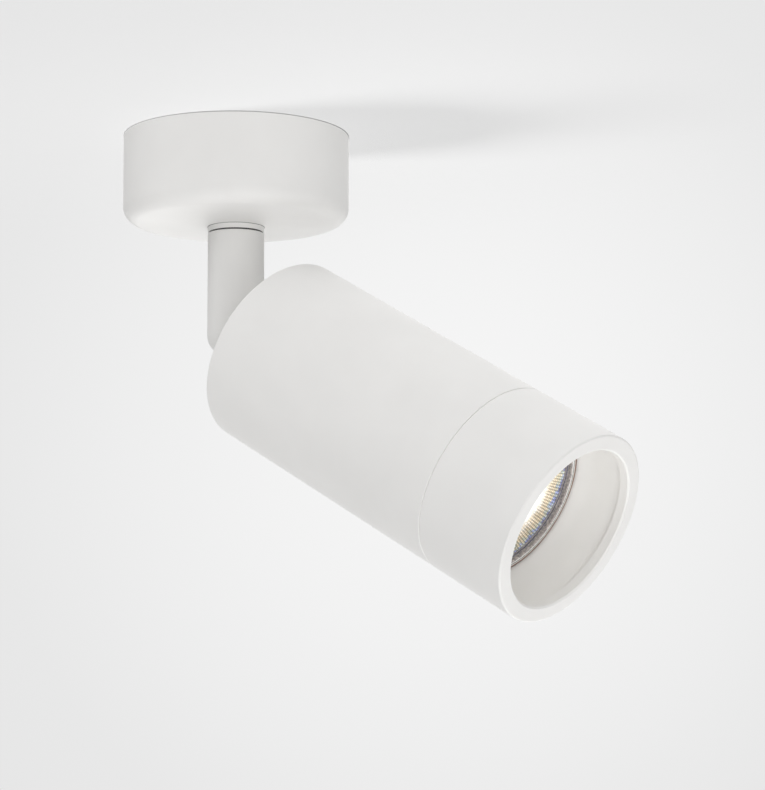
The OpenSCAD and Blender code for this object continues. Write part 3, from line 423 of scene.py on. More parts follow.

# %% [markdown]
# The bowl's coating reflects visible light and lets heat through. It is made of very thin layers,
# so its tint changes with the angle of the glass: white in the middle, cream and green further out,
# and blue to violet at the edge. A ramp along the bowl gives these tints, and each facet takes a
# slightly different place on it. The coating is given a glow, painted light that stands for the lit
# coil seen in the mirror, and that glow also lights the bore of the ring. The glow is weaker on the
# inner facets and grows outwards, as if the inner facets sent their light forward in the beam and
# the outer ones spilled it sideways. A random painted glint per facet, half shared along its
# column, shows as fine bright and dim lines along the bowl. The film mirrors at some angles and is
# clear at others, so its finish lies between glass and metal.

# %% Dichroic mirror
GLOW = 0.7
FORWARD_GLOW = 0.3
GLOW_FROM, GLOW_FULL = 0.5, 0.72
BORDERS_FROM, BORDERS_FULL = 0.79, 0.86
TINT_SPREAD = 0.06
mirror, tree, output = new_material("dichroic_coated_pressed_glass")
row_share = add_node(tree, "ShaderNodeAttribute", {"attribute_name": "row_share"})
facet_share = add_node(tree, "ShaderNodeAttribute", {"attribute_name": "facet_share"})
spread = add_node(tree, "ShaderNodeMath",
                  {"operation": "MULTIPLY_ADD", 1: TINT_SPREAD, 2: -TINT_SPREAD / 2},
                  {0: facet_share.outputs["Fac"]})
place_on_ramp = add_node(tree, "ShaderNodeMath", {"operation": "ADD"},
                         {0: row_share.outputs["Fac"], 1: spread.outputs["Value"]})
tint = add_node(tree, "ShaderNodeValToRGB",
                {"stops": [(0.0, "#FFFFFF"), (0.79, "#FDFCFA"), (0.835, "#F2E7D8"),
                           (0.88, "#E4D2B6"), (0.92, "#D2C4A8"), (0.948, "#B2BCB2"),
                           (0.972, "#929CD4"), (1.0, "#5E5A82")]},
                {"Fac": place_on_ramp.outputs["Value"]})
# Painted shade: facet borders on the outer rows are darkened, as shade between the facets.
border = add_node(tree, "ShaderNodeAttribute", {"attribute_name": "facet_border"})
border_painted_shade = add_node(tree, "ShaderNodeValToRGB", {"stops": [(0.3, "#FFFFFF"), (1.0, "#8C8A88")]},
                       {"Fac": border.outputs["Fac"]})
outer_share = add_node(tree, "ShaderNodeMapRange",
                       {"From Min": BORDERS_FROM, "From Max": BORDERS_FULL},
                       {"Value": row_share.outputs["Fac"]})
toned = add_node(tree, "ShaderNodeMix", {"data_type": "RGBA", "blend_type": "MULTIPLY"},
                 {0: outer_share.outputs["Result"], 6: tint.outputs["Color"],
                  7: border_painted_shade.outputs["Color"]})
# Painted glints: a random number per facet, half shared along its column, scales the painted glow.
glint = add_node(tree, "ShaderNodeAttribute", {"attribute_name": "facet_glint"})
glint_tone = add_node(tree, "ShaderNodeValToRGB", {"stops": [(0.0, "#B0B0B0"), (0.7, "#FFFFFF")]},
                      {"Fac": glint.outputs["Fac"]})
glow = add_node(tree, "ShaderNodeMix", {"data_type": "RGBA", "blend_type": "MULTIPLY", 0: 1.0},
                {6: toned.outputs[2], 7: glint_tone.outputs["Color"]})
# Strength of the painted glow, which stands for the lit coil seen in the mirror.
glow_level = add_node(tree, "ShaderNodeMapRange",
                      {"From Min": GLOW_FROM, "From Max": GLOW_FULL,
                       "To Min": GLOW * FORWARD_GLOW, "To Max": GLOW},
                      {"Value": row_share.outputs["Fac"]})
coating = add_node(tree, "ShaderNodeBsdfPrincipled", {"Metallic": 0.4, "Roughness": 0.12},
                   {"Base Color": toned.outputs[2], "Emission Color": glow.outputs[2],
                    "Emission Strength": glow_level.outputs["Result"]})
tree.links.new(coating.outputs["BSDF"], output.inputs["Surface"])
mirror_back = worked_metal("dichroic_coating_seen_from_behind", "#A9A4C4", "#7F86A8", 0.22, 3,
                           (1, 1, 1), 0.004)
print("mirror tints:", len(tint.color_ramp.elements))

# %% [markdown]
# Pressed into the bowl are rows of small cushions that spread the beam. Each cushion is a flat
# facet with a slight bulge, two small faces each way, and its borders are marked sharp so that
# neighbouring facets catch the light apart. The bowl opens at about 45 degrees at its mouth, which
# the slant of the facet lines in the photograph tells. Below it a narrow neck holds the capsule.
# The outside is smooth.

# %% Reflector bowl
FACETS = 144
ROWS = 48
ROW_BORDER = 0.75
PARTS = 2
BOWL_DEPTH = 15 * MM
BOWL_CURVE = 1.5
BOWL_GLASS = 1.6 * MM
BOWL_FLOOR = 2 * MM
FACET_BULGE = 0.05 * MM
CAPSULE_PLAY = 0.3 * MM
END_BAND = 0.1 * MM
OUTSIDE_STEPS = 14
DRAW_SEED = 4
bowl_low, bowl_high = along_head("lamp_reflector")
bowl_mouth = radius_at("lamp_reflector", bowl_high - END_BAND, bowl_high + END_BAND)
bowl_neck = radius_at("lamp_reflector", bowl_low - END_BAND, bowl_low + END_BAND)
capsule_r = radius_at("lamp_capsule")
hole_r = capsule_r + CAPSULE_PLAY


def bowl_outside(share):
    """Radius and place of the bowl's outside at a share of its depth."""
    radius = bowl_neck + (bowl_mouth - bowl_neck) * math.sqrt(share)
    return radius, bowl_low + (bowl_high - bowl_low) * share


def bowl_inside(row):
    """Radius and place of the coated inside at a row, counted in facets from the neck."""
    mouth = bowl_mouth - BOWL_GLASS
    radius = hole_r + (mouth - hole_r) * row / ROWS
    return radius, bowl_high - BOWL_DEPTH * (1 - (radius / mouth) ** BOWL_CURVE)


def facet_point(column, row):
    """Point of the faceted inside; column and row count small faces."""
    first_row = min(row // PARTS, ROWS - 1)
    up = (row - first_row * PARTS) / PARTS
    across = (column % PARTS) / PARTS
    first_turn = 360 * (column // PARTS) / FACETS
    low, high = Vector(bowl_inside(first_row)), Vector(bowl_inside(first_row + 1))
    radius, place = low.lerp(high, up)
    start = on_head(radius, first_turn, place)
    flat = start.lerp(on_head(radius, first_turn + 360 / FACETS, place), across)
    # The four shares multiply to 1/16 at most, in the middle of the facet.
    bulge = 16 * up * (1 - up) * across * (1 - across) * FACET_BULGE
    centre = pivot + place * head_way
    return flat + (centre - flat).normalized() * bulge


print("bowl", round((bowl_high - bowl_low) / MM, 1), "mm deep outside")

# %% [markdown]
# The mesh is made ring by ring, from the neck up to the mouth and then down the outside. Each point
# keeps its share of the way up and whether it lies on a facet's border, where shade is painted, and
# each facet keeps two random numbers: one moves its tint and the other sets its painted glint.

# %% Mesh of the bowl
columns = FACETS * PARTS
bowl = bmesh.new()
row_layer = bowl.verts.layers.float.new("row_share")
border_layer = bowl.verts.layers.float.new("facet_border")
facet_layer = bowl.faces.layers.float.new("facet_share")
glint_layer = bowl.faces.layers.float.new("facet_glint")
inside = []
for row in range(ROWS * PARTS + 1):
    ring = [bowl.verts.new(facet_point(column, row)) for column in range(columns)]
    for column, vertex in enumerate(ring):
        vertex[row_layer] = row / (ROWS * PARTS)
        row_border = ROW_BORDER if row % PARTS == 0 else 0.0
        vertex[border_layer] = 1.0 if column % PARTS == 0 else row_border
    inside.append(ring)
draw = random.Random(DRAW_SEED)
facet_tints = [[draw.random() for _ in range(FACETS)] for _ in range(ROWS)]
column_glints = [draw.random() for _ in range(FACETS)]
facet_glints = [[(draw.random() + share) / 2 for share in column_glints] for _ in range(ROWS)]
for row in range(ROWS * PARTS):
    for column in range(columns):
        after = (column + 1) % columns
        face = bowl.faces.new([inside[row][column], inside[row][after], inside[row + 1][after],
                               inside[row + 1][column]])
        face[facet_layer] = facet_tints[row // PARTS][column // PARTS]
        face[glint_layer] = facet_glints[row // PARTS][column // PARTS]
outside_section = [bowl_outside((i / OUTSIDE_STEPS) ** 2) for i in range(OUTSIDE_STEPS, -1, -1)]
outside_section += [(hole_r, bowl_low), (hole_r, bowl_low + BOWL_FLOOR)]
outer = [[bowl.verts.new(on_head(radius, 360 * column / columns, place))
          for column in range(columns)] for radius, place in outside_section]
for ring, following in zip([inside[-1]] + outer, outer + [inside[0]]):
    for column in range(columns):
        after = (column + 1) % columns
        face = bowl.faces.new([ring[column], ring[after], following[after], following[column]])
        face.material_index = 1
bowl_piece = as_piece("lamp_reflector_bowl", bowl, "lamp", "reflector_glass", [mirror, mirror_back],
                      "lamp_reflector")
for edge in bowl_piece.data.edges:
    rings = [v // columns for v in edge.vertices]
    turns = [v % columns for v in edge.vertices]
    on_inside = max(rings) <= ROWS * PARTS
    along_row = rings[0] == rings[1] and rings[0] % PARTS == 0
    up_column = turns[0] == turns[1] and turns[0] % PARTS == 0
    if on_inside and (along_row or up_column):
        edge.use_edge_sharp = True
print("facets", FACETS * ROWS, "mouth radius", round(bowl_mouth / MM, 2), "mm")

# %% [markdown]
# The quartz of the capsule bends light, with an index of 1.46, and a trace of roughness stands for
# the drawn tube's faint ripple. The flat front glass shifts what lies behind it by only about a
# millimetre, so it is simply clear with a mirror share that grows towards grazing angles. Only the
# side that a ray enters by mirrors, because inside the glass the same formula would turn steep rays
# back for good.

# %% Glasses
TUBE_RIPPLE = 6
HAZE_CLOUD = 4


def clear_glass(name, tint_hex, index, roughness):
    """Transparent glass, faintly tinted in its depth."""
    material, tree, output = new_material(name)
    place = add_node(tree, "ShaderNodeTexCoord").outputs["Object"]
    ripple = add_node(tree, "ShaderNodeTexNoise", {"Scale": per_mm(TUBE_RIPPLE), "Detail": 1.0},
                      {"Vector": place})
    wave = add_node(tree, "ShaderNodeBump", {"Strength": 0.1, "Distance": 0.01 * MM},
                    {"Height": ripple.outputs[0]})
    shader = add_node(tree, "ShaderNodeBsdfPrincipled",
                      {"Base Color": linear(tint_hex), "IOR": index, "Roughness": roughness,
                       "Transmission Weight": 1.0}, {"Normal": wave.outputs["Normal"]})
    tree.links.new(shader.outputs["BSDF"], output.inputs["Surface"])
    return material


quartz = clear_glass("drawn_quartz_tube", "#FDFDFB", 1.46, 0.02)
float_glass, tree, output = new_material("clear_float_glass")
place = add_node(tree, "ShaderNodeTexCoord").outputs["Object"]
haze = add_node(tree, "ShaderNodeTexNoise", {"Scale": per_mm(HAZE_CLOUD), "Detail": 2.0},
                {"Vector": place})
haze_tone = add_node(tree, "ShaderNodeValToRGB", {"stops": [(0.3, "#FCFCFB"), (0.7, "#F9F9F8")]},
                     {"Fac": haze.outputs[0]})
mirror_share = add_node(tree, "ShaderNodeFresnel", {"IOR": 1.5})
straight = add_node(tree, "ShaderNodeBsdfTransparent", {}, {"Color": haze_tone.outputs["Color"]})
sheen = add_node(tree, "ShaderNodeBsdfAnisotropic", {"Roughness": 0.02})
inside_glass = add_node(tree, "ShaderNodeNewGeometry").outputs["Backfacing"]
entering = add_node(tree, "ShaderNodeMath", {"operation": "SUBTRACT", 0: 1.0}, {1: inside_glass})
mirror_part = add_node(tree, "ShaderNodeMath", {"operation": "MULTIPLY"},
                       {0: mirror_share.outputs["Fac"], 1: entering.outputs["Value"]})
pane = add_node(tree, "ShaderNodeMixShader", {},
                {0: mirror_part.outputs["Value"], 1: straight.outputs["BSDF"],
                 2: sheen.outputs["BSDF"]})
tree.links.new(pane.outputs["Shader"], output.inputs["Surface"])
print("glasses:", float_glass.name, quartz.name)

# %% [markdown]
# The front glass is a disc with ground edges that lies on the bowl. Its half section has corners
# that are slightly rounded, as grinding leaves them.

# %% Front glass
GLASS_EDGE = 0.25 * MM
glass_low, glass_high = along_head("lamp_front_glass")
glass_r = radius_at("lamp_front_glass")
glass_section = rounded([(0, glass_low), (glass_r, glass_low), (glass_r, glass_high),
                         (0, glass_high)], GLASS_EDGE, keep_ends=True)
as_piece("lamp_front_glass_disc", turned(glass_section, closed=False), "lamp", "clear_glass",
         [float_glass], "lamp_front_glass")

print("front glass", round((glass_high - glass_low) / MM, 2), "mm thick")

# %% [markdown]
# The bowl ends in a flat glass flange, painted in uneven dark and pale rings that stand for the
# light and shade seen in the glass. Its finish is a ramp along the distance from the axis, which is
# kept on the points in mm, and cloudy spots darken it.

# %% Flange
FLANGE_W = 2.1 * MM
FLANGE_T = 0.3 * MM
FLANGE_GAP = 0.04 * MM
FLANGE_EDGE = 0.1 * MM
MOTTLE_GRAIN = 0.9
flange_r = bowl_mouth - FLANGE_GAP
flange_in = flange_r - FLANGE_W
flange_top = glass_low - FLANGE_GAP
flange_low = flange_top - FLANGE_T
flange_section = rounded([(flange_in, flange_low), (flange_r, flange_low),
                          (flange_r, flange_top), (flange_in, flange_top)], FLANGE_EDGE)


def banded(name, bands, low, high, metallic, mottle_hex):
    """Finish in rings: a ramp between two distances from the axis, darkened in cloudy spots."""
    material, tree, output = new_material(name)
    reach = add_node(tree, "ShaderNodeAttribute", {"attribute_name": "reach_mm"})
    share = add_node(tree, "ShaderNodeMapRange", {"From Min": low / MM, "From Max": high / MM},
                     {"Value": reach.outputs["Fac"]})
    rings = add_node(tree, "ShaderNodeValToRGB", {"stops": bands}, {"Fac": share.outputs["Result"]})
    place = add_node(tree, "ShaderNodeTexCoord").outputs["Object"]
    cloud = add_node(tree, "ShaderNodeTexNoise", {"Scale": per_mm(MOTTLE_GRAIN), "Detail": 3.0},
                     {"Vector": place})
    mottle = add_node(tree, "ShaderNodeValToRGB", {"stops": [(0.4, mottle_hex), (0.6, "#FFFFFF")]},
                      {"Fac": cloud.outputs[0]})
    tone = add_node(tree, "ShaderNodeMix", {"data_type": "RGBA", "blend_type": "MULTIPLY", 0: 1.0},
                    {6: rings.outputs["Color"], 7: mottle.outputs["Color"]})
    shader = add_node(tree, "ShaderNodeBsdfPrincipled", {"Metallic": metallic, "Roughness": 0.3},
                      {"Base Color": tone.outputs[2]})
    tree.links.new(shader.outputs["BSDF"], output.inputs["Surface"])
    return material


def keep_reach(piece):
    """Keeps each point's distance from the head's axis, in mm, for the banded finishes."""
    reach_mm = piece.data.attributes.new("reach_mm", "FLOAT", "POINT")
    for vertex in piece.data.vertices:
        reach_mm.data[vertex.index].value = place_and_reach(vertex.co)[1] / MM


# Painted light and shade: pale and dark rings across the flange.
flange_light_and_shade_rings = [(0.0, "#A6A0A4"), (0.12, "#E8E0DC"), (0.3, "#C4C0C2"), (0.45, "#E6DDD8"),
                (0.58, "#B4B0AF"), (0.68, "#77757A"), (0.85, "#8C8B8E"), (1.0, "#6E6D72")]
flange_glass = banded("pressed_glass_flange", flange_light_and_shade_rings, flange_in, flange_r, 0.0, "#B4B2B6")
flange = as_piece("lamp_reflector_flange", turned(flange_section), "lamp", "reflector_glass",
                  [flange_glass])
keep_reach(flange)
print("flange from", round(flange_in / MM, 2), "to", round(flange_r / MM, 2), "mm")

# %% [markdown]
# A thin aluminium rim is rolled over flange and glass. From the front it shows as pale bands with a
# fine brown line outside, where its cut edge has coloured with the heat. Lacquer covers the metal,
# so the finish is only slightly metallic. A slanting look through the glass meets its ground edge
# in the rim, which is grey and mottled.

# %% Rolled rim
RIM_PLAY = 0.03 * MM
RIM_EDGE = 0.08 * MM
FOLD_W = 2 * MM
LINE_W = 0.25 * MM
WALL_SLACK = 0.01 * MM
rim_low, rim_high = along_head("lamp_rim")
rim_in = glass_r + RIM_PLAY
fold_in = lamp_r - FOLD_W
fold_low = glass_high + RIM_PLAY
line_in, line_low = lamp_r - LINE_W, rim_high - LINE_W
rim_section = rounded([(rim_in, rim_low), (lamp_r, rim_low), (lamp_r, line_low),
                       (line_in, line_low), (line_in, rim_high), (fold_in, rim_high),
                       (fold_in, fold_low), (rim_in, fold_low)], RIM_EDGE)
rim_bands = [(0.0, "#FFFFFF"), (0.24, "#FAFAF9"), (0.29, "#5E5C5A"), (0.34, "#6C6A68"),
             (0.4, "#DAD8D4"), (0.58, "#E2E0DC"), (0.66, "#7E4A2B"), (1.0, "#6E3F22")]
rim = banded("rolled_aluminium_rim_with_brown_edge", rim_bands, fold_in, lamp_r, 0.15, "#E6E5E2")
ground_edge = moulded("ground_glass_edge", "#E0D8D4", "#7A767B", 0.35, 0.7, 0.02, {"IOR": 1.5})
rim_mesh = turned(rim_section)
for face in rim_mesh.faces:
    if max(place_and_reach(vertex.co)[1] for vertex in face.verts) < rim_in + WALL_SLACK:
        face.material_index = 1
rim_piece = as_piece("lamp_rim_ring", rim_mesh, "lamp", "rim_aluminium", [rim, ground_edge],
                     "lamp_rim")
keep_reach(rim_piece)
print("rim from", round(rim_in / MM, 2), "to", round(lamp_r / MM, 2), "mm")

# %% [markdown]
# The capsule is a quartz tube with a domed end, closed inside and out. Its other end is pinched
# flat round the pins, which a rounded block stands for.

# %% Capsule
CAPSULE_WALL = 0.8 * MM
TUBE_EDGE = 0.8 * MM
SEAL_LEN = 8 * MM
DOME_STEPS = 10
WELD = 0.001 * MM
capsule_low, capsule_high = along_head("lamp_capsule")
tube_low = capsule_low + SEAL_LEN
tube_floor = tube_low + CAPSULE_WALL


def dome_points(radius):
    """Quarter circle from the tube's wall to the tip of its dome."""
    angles = [math.radians(90 * i / DOME_STEPS) for i in range(DOME_STEPS + 1)]
    centre = capsule_high - capsule_r
    points = [(radius * math.cos(angle), centre + radius * math.sin(angle)) for angle in angles]
    return points[:-1] + [(0, points[-1][1])]


outer_dome = dome_points(capsule_r)
shell = rounded([(0, tube_low), (capsule_r, tube_low), outer_dome[0]], TUBE_EDGE, keep_ends=True)
capsule = turned(shell + outer_dome[1:], closed=False)
inner_r = capsule_r - CAPSULE_WALL
inside_section = dome_points(inner_r)[::-1] + [(inner_r, tube_floor), (0, tube_floor)]
hollow = turned(inside_section, closed=False)
for face in hollow.faces:
    capsule.faces.new([capsule.verts.new(vertex.co) for vertex in face.verts])
hollow.free()
bmesh.ops.remove_doubles(capsule, verts=capsule.verts, dist=WELD)
as_piece("lamp_capsule_tube", capsule, "lamp", "quartz_glass", [quartz], "lamp_capsule")

SEAL_W = 8 * MM
SEAL_T = 2.6 * MM
SEAL_EDGE = 0.5 * MM
seal = bmesh.new()
seal_frame = Matrix((down_way, side_way, head_way)).transposed().to_4x4()
seal_frame.translation = pivot + (capsule_low + SEAL_LEN / 2) * head_way
seal_size = Matrix.Diagonal((SEAL_W, SEAL_T, SEAL_LEN, 1))
bmesh.ops.create_cube(seal, size=1, matrix=seal_frame @ seal_size)
bmesh.ops.bevel(seal, geom=list(seal.edges), offset=SEAL_EDGE, segments=4, affect="EDGES")
as_piece("lamp_capsule_seal", seal, "lamp", "quartz_glass", [quartz])
print("capsule radius", round(capsule_r / MM, 2), "mm")

# %% [markdown]
# The coil in the capsule is a helix of tungsten wire on two straight legs. Each is a curve through
# points, which Blender gives a round section.

# %% Coil


def wire(name, points, radius, body, slot, material, *replaced):
    """Round wire through points, as a curve with a round section."""
    curve = bpy.data.curves.new(name, "CURVE")
    curve.dimensions = "3D"
    curve.bevel_depth = radius
    curve.bevel_resolution = 3
    curve.use_fill_caps = True
    spline = curve.splines.new("POLY")
    spline.points.add(len(points) - 1)
    for point, place in zip(spline.points, points):
        point.co = (*place, 1.0)
    piece = bpy.data.objects.new(name, curve)
    bpy.context.scene.collection.objects.link(piece)
    curve.materials.append(material)
    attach(piece, body)
    if replaced:
        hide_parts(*replaced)
    return piece


COIL_TURNS = 11
COIL_R = 0.7 * MM
COIL_WIRE = 0.11 * MM
LEG_WIRE = 0.2 * MM
STEPS_A_TURN = 16
COIL_HALF = 2 * MM
COIL_RISE = 3 * MM
coil_centre = pivot + (sum(along_head("lamp_filament")) / 2 + COIL_RISE) * head_way
coil_steps = COIL_TURNS * STEPS_A_TURN
coil_points = []
for step in range(coil_steps + 1):
    share = step / coil_steps
    angle = 2 * math.pi * COIL_TURNS * share
    coil_points.append(coil_centre + (2 * share - 1) * COIL_HALF * down_way
                       + COIL_R * (math.cos(angle) * side_way + math.sin(angle) * head_way))
wire("lamp_filament_coil", coil_points, COIL_WIRE, "lamp", "filament_wire", drawn_tungsten,
     "lamp_filament")
legs = {"lamp_filament_leg_a": coil_points[0], "lamp_filament_leg_b": coil_points[-1]}
for name, end in legs.items():
    depth = (end - pivot).dot(head_way) - tube_floor
    wire(name, [end, end - depth * head_way], LEG_WIRE, "lamp", "filament_wire", drawn_tungsten)
print("coil", COIL_TURNS, "turns of", round(2 * COIL_R / MM, 2), "mm")

# %% [markdown]
# Ring and head meet in a fine seam. The ring's shoulder closes it a little below the surface, so
# the seam is a shallow groove with a pale floor, not a dark slot. A thin turned piece on the ring
# makes that floor.

# %% Seam floor
SEAM_EDGE = 0.27 * MM
SHOULDER_W = 1.5 * MM
HEAD_PLAY = 0.02 * MM
RING_LAP = 0.1 * MM
head_end = along_head("head_body")[1]
head_r = radius_at("front_ring")
ring_points = places_and_reaches("front_ring")
ring_begin = min(place for place, reach in ring_points if reach > head_r - SHOULDER_W)
shoulder_r = head_r - SEAM_EDGE
shoulder_in = shoulder_r - SHOULDER_W
shoulder_low, shoulder_high = head_end + HEAD_PLAY, ring_begin + RING_LAP
shoulder = [(shoulder_in, shoulder_low), (shoulder_r, shoulder_low),
            (shoulder_r, shoulder_high), (shoulder_in, shoulder_high)]
as_piece("front_ring_shoulder", turned(shoulder), "ring", "ring_paint", [ring_coat])
print("seam", round((ring_begin - head_end) / MM, 2), "mm wide")

# %% [markdown]
# The bore of the ring tapers in to meet the lamp. The taper, turned with the ring, ends a hair's
# breadth from the rim, so no dark gap shows round the lamp and the ring still pulls off without
# touching it.

# %% Lamp seat
SEAT_PLAY = 0.12 * MM
SEAT_TAPER = 7 * MM
SEAT_DEPTH = 1.8 * MM
SEAT_STEPS = 8
SEAT_SINK = 0.02 * MM
SEAT_BACK = 0.2 * MM
BORE_LIMIT = 2.5 * MM
bore_r = max(reach for place, reach in ring_points
             if reach < lamp_r + BORE_LIMIT and place > lamp_front + BORE_LIMIT)
seat_in, seat_out, seat_top = lamp_r + SEAT_PLAY, bore_r - SEAT_SINK, lamp_front - SEAT_BACK
seat = [(seat_out, seat_top - SEAT_DEPTH)]
for step in range(SEAT_STEPS + 1):
    t = step / SEAT_STEPS
    seat.append((seat_out + (seat_in - seat_out) * t * t, seat_top + SEAT_TAPER * (1 - t)))
seat.append((seat_in, seat_top - SEAT_DEPTH))
as_piece("front_ring_lamp_seat", turned(seat), "ring", "ring_paint", [ring_coat])
print("bore radius", round(bore_r / MM, 2), "mm, seat from", round(seat_in / MM, 2), "mm")

# %% [markdown]
# Where the collar is pressed against the canopy, a hairline joint stays between the two coats. A
# thin grey bead in the joint is painted shade: it draws the shade that falls there as a fine grey
# line.

# %% Collar joint
BEAD_R = 0.16 * MM
BEAD_STEPS = 8
canopy_box, collar_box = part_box("canopy"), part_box("swivel_collar")
canopy_low, canopy_r = canopy_box[0][2], canopy_box[1][0]
collar_r = collar_box[1][0]
bead_turns = [math.radians(360 * k / BEAD_STEPS) for k in range(BEAD_STEPS)]
bead_section = [(collar_r + BEAD_R * math.cos(t), canopy_low + BEAD_R * math.sin(t))
                for t in bead_turns]
# Grey coat of the bead: painted shade in the joint.
joint_painted_shade = powder_coat("painted_shade_in_collar_joint", "#A3A2A0", "#8F8E8C")
as_piece("collar_joint_bead", turned(bead_section, spot=on_stem), "canopy_mount", "canopy_paint",
         [joint_painted_shade])
print("collar radius", round(collar_r / MM, 2), "canopy radius", round(canopy_r / MM, 2), "mm")

# %% [markdown]
# The spotlight hangs under a plain white ceiling, which catches its soft shadow. The ceiling is a
# plane that only rays from the camera see, and only from below, so that the light and a look from
# above pass through it. It is a thin veil over the background that fades away from the canopy.
# Behind the canopy it is full, and its paint there is darker: painted shade in the hairline gap
# between canopy and ceiling, which shows as a fine grey line.

# %% Ceiling
CEILING_GAP = 0.2 * MM
CEILING_HALF = 3.0
VEIL = 0.21
FADE_FROM = 0.07
FADE_TO = 0.18
EDGE_BLUR = 0.3 * MM
ceiling_paint, tree, output = new_material("matt_ceiling_paint")
place = add_node(tree, "ShaderNodeTexCoord").outputs["Object"]
distance = add_node(tree, "ShaderNodeVectorMath", {"operation": "LENGTH"}, {0: place})
kept = add_node(tree, "ShaderNodeMapRange",
                {"From Min": FADE_FROM, "From Max": FADE_TO, "To Min": VEIL, "To Max": 0.0,
                 "interpolation_type": "SMOOTHSTEP"}, {"Value": distance.outputs["Value"]})
covered = add_node(tree, "ShaderNodeMapRange",
                   {"From Min": canopy_r, "From Max": canopy_r + EDGE_BLUR,
                    "To Min": 1.0, "To Max": 0.0},
                   {"Value": distance.outputs["Value"]})
thicker = add_node(tree, "ShaderNodeMath", {"operation": "MAXIMUM"},
                   {0: kept.outputs["Result"], 1: covered.outputs["Result"]})
seen = add_node(tree, "ShaderNodeLightPath").outputs["Is Camera Ray"]
behind = add_node(tree, "ShaderNodeNewGeometry").outputs["Backfacing"]
from_below = add_node(tree, "ShaderNodeMath", {"operation": "SUBTRACT", 0: 1.0}, {1: behind})
shown = add_node(tree, "ShaderNodeMath", {"operation": "MULTIPLY"},
                 {0: seen, 1: from_below.outputs["Value"]})
cover = add_node(tree, "ShaderNodeMath", {"operation": "MULTIPLY"},
                 {0: shown.outputs["Value"], 1: thicker.outputs["Value"]})
clear = add_node(tree, "ShaderNodeBsdfTransparent")
# Painted shade: the paint turns grey where the canopy covers the ceiling.
paint_with_gap_shade = add_node(tree, "ShaderNodeValToRGB", {"stops": [(0.0, "#F0F0F0"), (1.0, "#9C9C9C")]},
                      {"Fac": covered.outputs["Result"]})
paint = add_node(tree, "ShaderNodeBsdfDiffuse", {}, {"Color": paint_with_gap_shade.outputs["Color"]})
mixed = add_node(tree, "ShaderNodeMixShader", {},
                 {0: cover.outputs["Value"], 1: clear.outputs["BSDF"], 2: paint.outputs["BSDF"]})
tree.links.new(mixed.outputs["Shader"], output.inputs["Surface"])
plane = bpy.data.meshes.new("ceiling")
corners = [(-CEILING_HALF, -CEILING_HALF), (-CEILING_HALF, CEILING_HALF),
           (CEILING_HALF, CEILING_HALF), (CEILING_HALF, -CEILING_HALF)]
plane.from_pydata([(x, y, CEILING_GAP) for x, y in corners], [], [(0, 1, 2, 3)])
ceiling = bpy.data.objects.new("ceiling", plane)
bpy.context.scene.collection.objects.link(ceiling)
plane.materials.append(ceiling_paint)
print("ceiling normal points", "down" if plane.polygons[0].normal.z < 0 else "up")

# %% [markdown]
# The light is a soft studio dome with a few wide boxes in it. The world gives the dome. Rays from
# the camera, from shiny surfaces and through glass see the backdrop instead: a pale paper that is
# brightest behind the head and falls off gently to the sides. Its colour follows the direction from
# the object.

# %% World
DOME_LEVEL = 0.13
BRIGHT_HEADING = 34.0
BRIGHT_PITCH = 6.5
FALL_OFF = 13.7
heading, pitch = math.radians(BRIGHT_HEADING), math.radians(BRIGHT_PITCH)
bright_way = (-math.sin(heading) * math.cos(pitch), math.cos(heading) * math.cos(pitch),
              math.sin(pitch))
world = bpy.data.worlds.new("studio_dome")
bpy.context.scene.world = world
world.use_nodes = True
tree = world.node_tree
tree.nodes.clear()
way = add_node(tree, "ShaderNodeTexCoord").outputs["Generated"]
nearness = add_node(tree, "ShaderNodeVectorMath", {"operation": "DOT_PRODUCT", 1: bright_way},
                    {0: way})
fall = add_node(tree, "ShaderNodeMapRange",
                {"From Min": math.cos(math.radians(FALL_OFF)), "From Max": 1.0},
                {"Value": nearness.outputs["Value"]})
paper = add_node(tree, "ShaderNodeValToRGB",
                 {"stops": [(0.0, "#E6E6E6"), (0.38, "#E8E8E8"), (0.56, "#EBEBEB"),
                            (0.8, "#F0F0F0"), (1.0, "#F5F5F5")]}, {"Fac": fall.outputs["Result"]})
rays = add_node(tree, "ShaderNodeLightPath")
glossy_too = add_node(tree, "ShaderNodeMath", {"operation": "MAXIMUM"},
                      {0: rays.outputs["Is Camera Ray"], 1: rays.outputs["Is Glossy Ray"]})
glass_too = add_node(tree, "ShaderNodeMath", {"operation": "MAXIMUM"},
                     {0: glossy_too.outputs["Value"], 1: rays.outputs["Is Transmission Ray"]})
dome_colour = add_node(tree, "ShaderNodeMix",
                       {"data_type": "RGBA", 6: (DOME_LEVEL, DOME_LEVEL, DOME_LEVEL, 1.0)},
                       {0: glass_too.outputs["Value"], 7: paper.outputs["Color"]})
dome = add_node(tree, "ShaderNodeBackground", {"Strength": 1.0}, {"Color": dome_colour.outputs[2]})
add_node(tree, "ShaderNodeOutputWorld", {}, {"Surface": dome.outputs["Background"]})
print("dome level", DOME_LEVEL)

# %% [markdown]
# Sun lamps with a wide angle act as very large soft boxes, whose strength doesn't change with
# distance. Their strengths are matched to how bright the whites are in the photograph. The boxes
# light the spotlight only. The ceiling has a lamp of its own, low on the left, because its long
# soft shadow should fall on the ceiling without a hard light on the spotlight itself.

# %% Soft boxes
BOX_WIDTH = 60
ALL_BUT_CEILING = bpy.data.collections.new("all_but_ceiling")
CEILING_ONLY = bpy.data.collections.new("ceiling_only")
for receivers, state in ((ALL_BUT_CEILING, "EXCLUDE"), (CEILING_ONLY, "INCLUDE")):
    receivers.objects.link(ceiling)
    receivers.collection_objects[0].light_linking.link_state = state


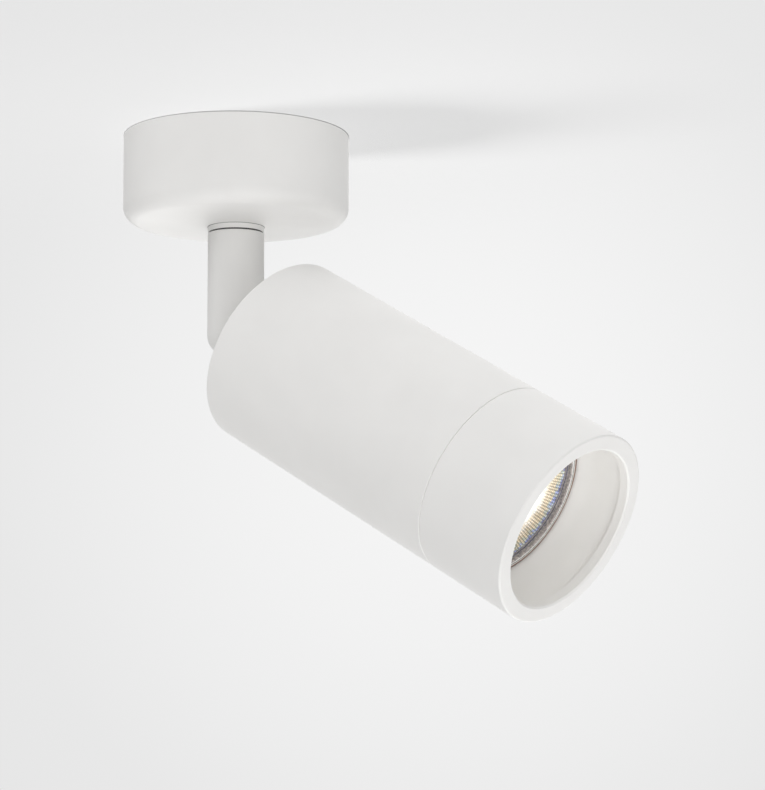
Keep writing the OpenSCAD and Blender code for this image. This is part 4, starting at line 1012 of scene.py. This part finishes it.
def soft_box(name, azimuth, elevation, strength, width=BOX_WIDTH, receivers=ALL_BUT_CEILING):
    """Wide sun lamp. Azimuth 0 shines from -Y and 90 from +X, and all angles are in degrees."""
    a, e = math.radians(azimuth), math.radians(elevation)
    towards_lamp = Vector((math.sin(a) * math.cos(e), -math.cos(a) * math.cos(e), math.sin(e)))
    lamp = bpy.data.lights.new(name, "SUN")
    lamp.energy = strength
    lamp.angle = math.radians(width)
    lamp_object = bpy.data.objects.new(name, lamp)
    lamp_object.rotation_mode = "QUATERNION"
    lamp_object.rotation_quaternion = towards_lamp.to_track_quat("Z", "Y")
    lamp_object.light_linking.receiver_collection = receivers
    bpy.context.scene.collection.objects.link(lamp_object)


soft_box("front_box", 39, 0, 0.75)
soft_box("right_low_box", 100, -35, 0.5)
soft_box("front_low_box", 39, -45, 1)
soft_box("bottom_box", 0, -88, 0.85)
soft_box("back_low_box", -160, -40, 1.05)
soft_box("top_box", 0, 88, 0.6)
soft_box("left_top_box", -45, 35, 1.4)
soft_box("right_top_box", 115, 40, 0.85)
soft_box("back_top_box", -150, 40, 0.75)

SHADOW_AZIMUTH = -68
SHADOW_ELEVATION = 16.5
SHADOW_WIDTH = 28
CEILING_LEVEL = 0.97
shadow_strength = (CEILING_LEVEL - DOME_LEVEL) * math.pi / math.sin(math.radians(SHADOW_ELEVATION))
soft_box("ceiling_lamp", SHADOW_AZIMUTH, -SHADOW_ELEVATION, shadow_strength, SHADOW_WIDTH,
         CEILING_ONLY)
print("ceiling lamp", round(shadow_strength, 2))

# %% [markdown]
# The camera stands where the photographer stood. Its place, direction and lens were worked out from
# the outlines of the canopy, the stem and the head. The long lens keeps the cylinders almost
# parallel.

# %% Camera
CAMERA_PLACE = Vector((488.6, -602.1, -182.4)) * MM
CAMERA_HEADING = 35.61
CAMERA_PITCH = 7.30
CAMERA_ROLL = -0.155
LENS = 112.2
camera_data = bpy.data.cameras.new("camera")
camera_data.lens = LENS
camera_data.clip_end = 20.0
camera = bpy.data.objects.new("camera", camera_data)
turn = (Matrix.Rotation(math.radians(CAMERA_HEADING), 4, "Z")
        @ Matrix.Rotation(math.radians(90 + CAMERA_PITCH), 4, "X")
        @ Matrix.Rotation(math.radians(CAMERA_ROLL), 4, "Z"))
camera.matrix_world = Matrix.Translation(CAMERA_PLACE) @ turn
bpy.context.scene.collection.objects.link(camera)
bpy.context.scene.camera = camera
bpy.context.scene.view_settings.view_transform = "Standard"
print("camera", round((CAMERA_PLACE - pivot).length / MM), "mm from the pivot, lens", LENS, "mm")
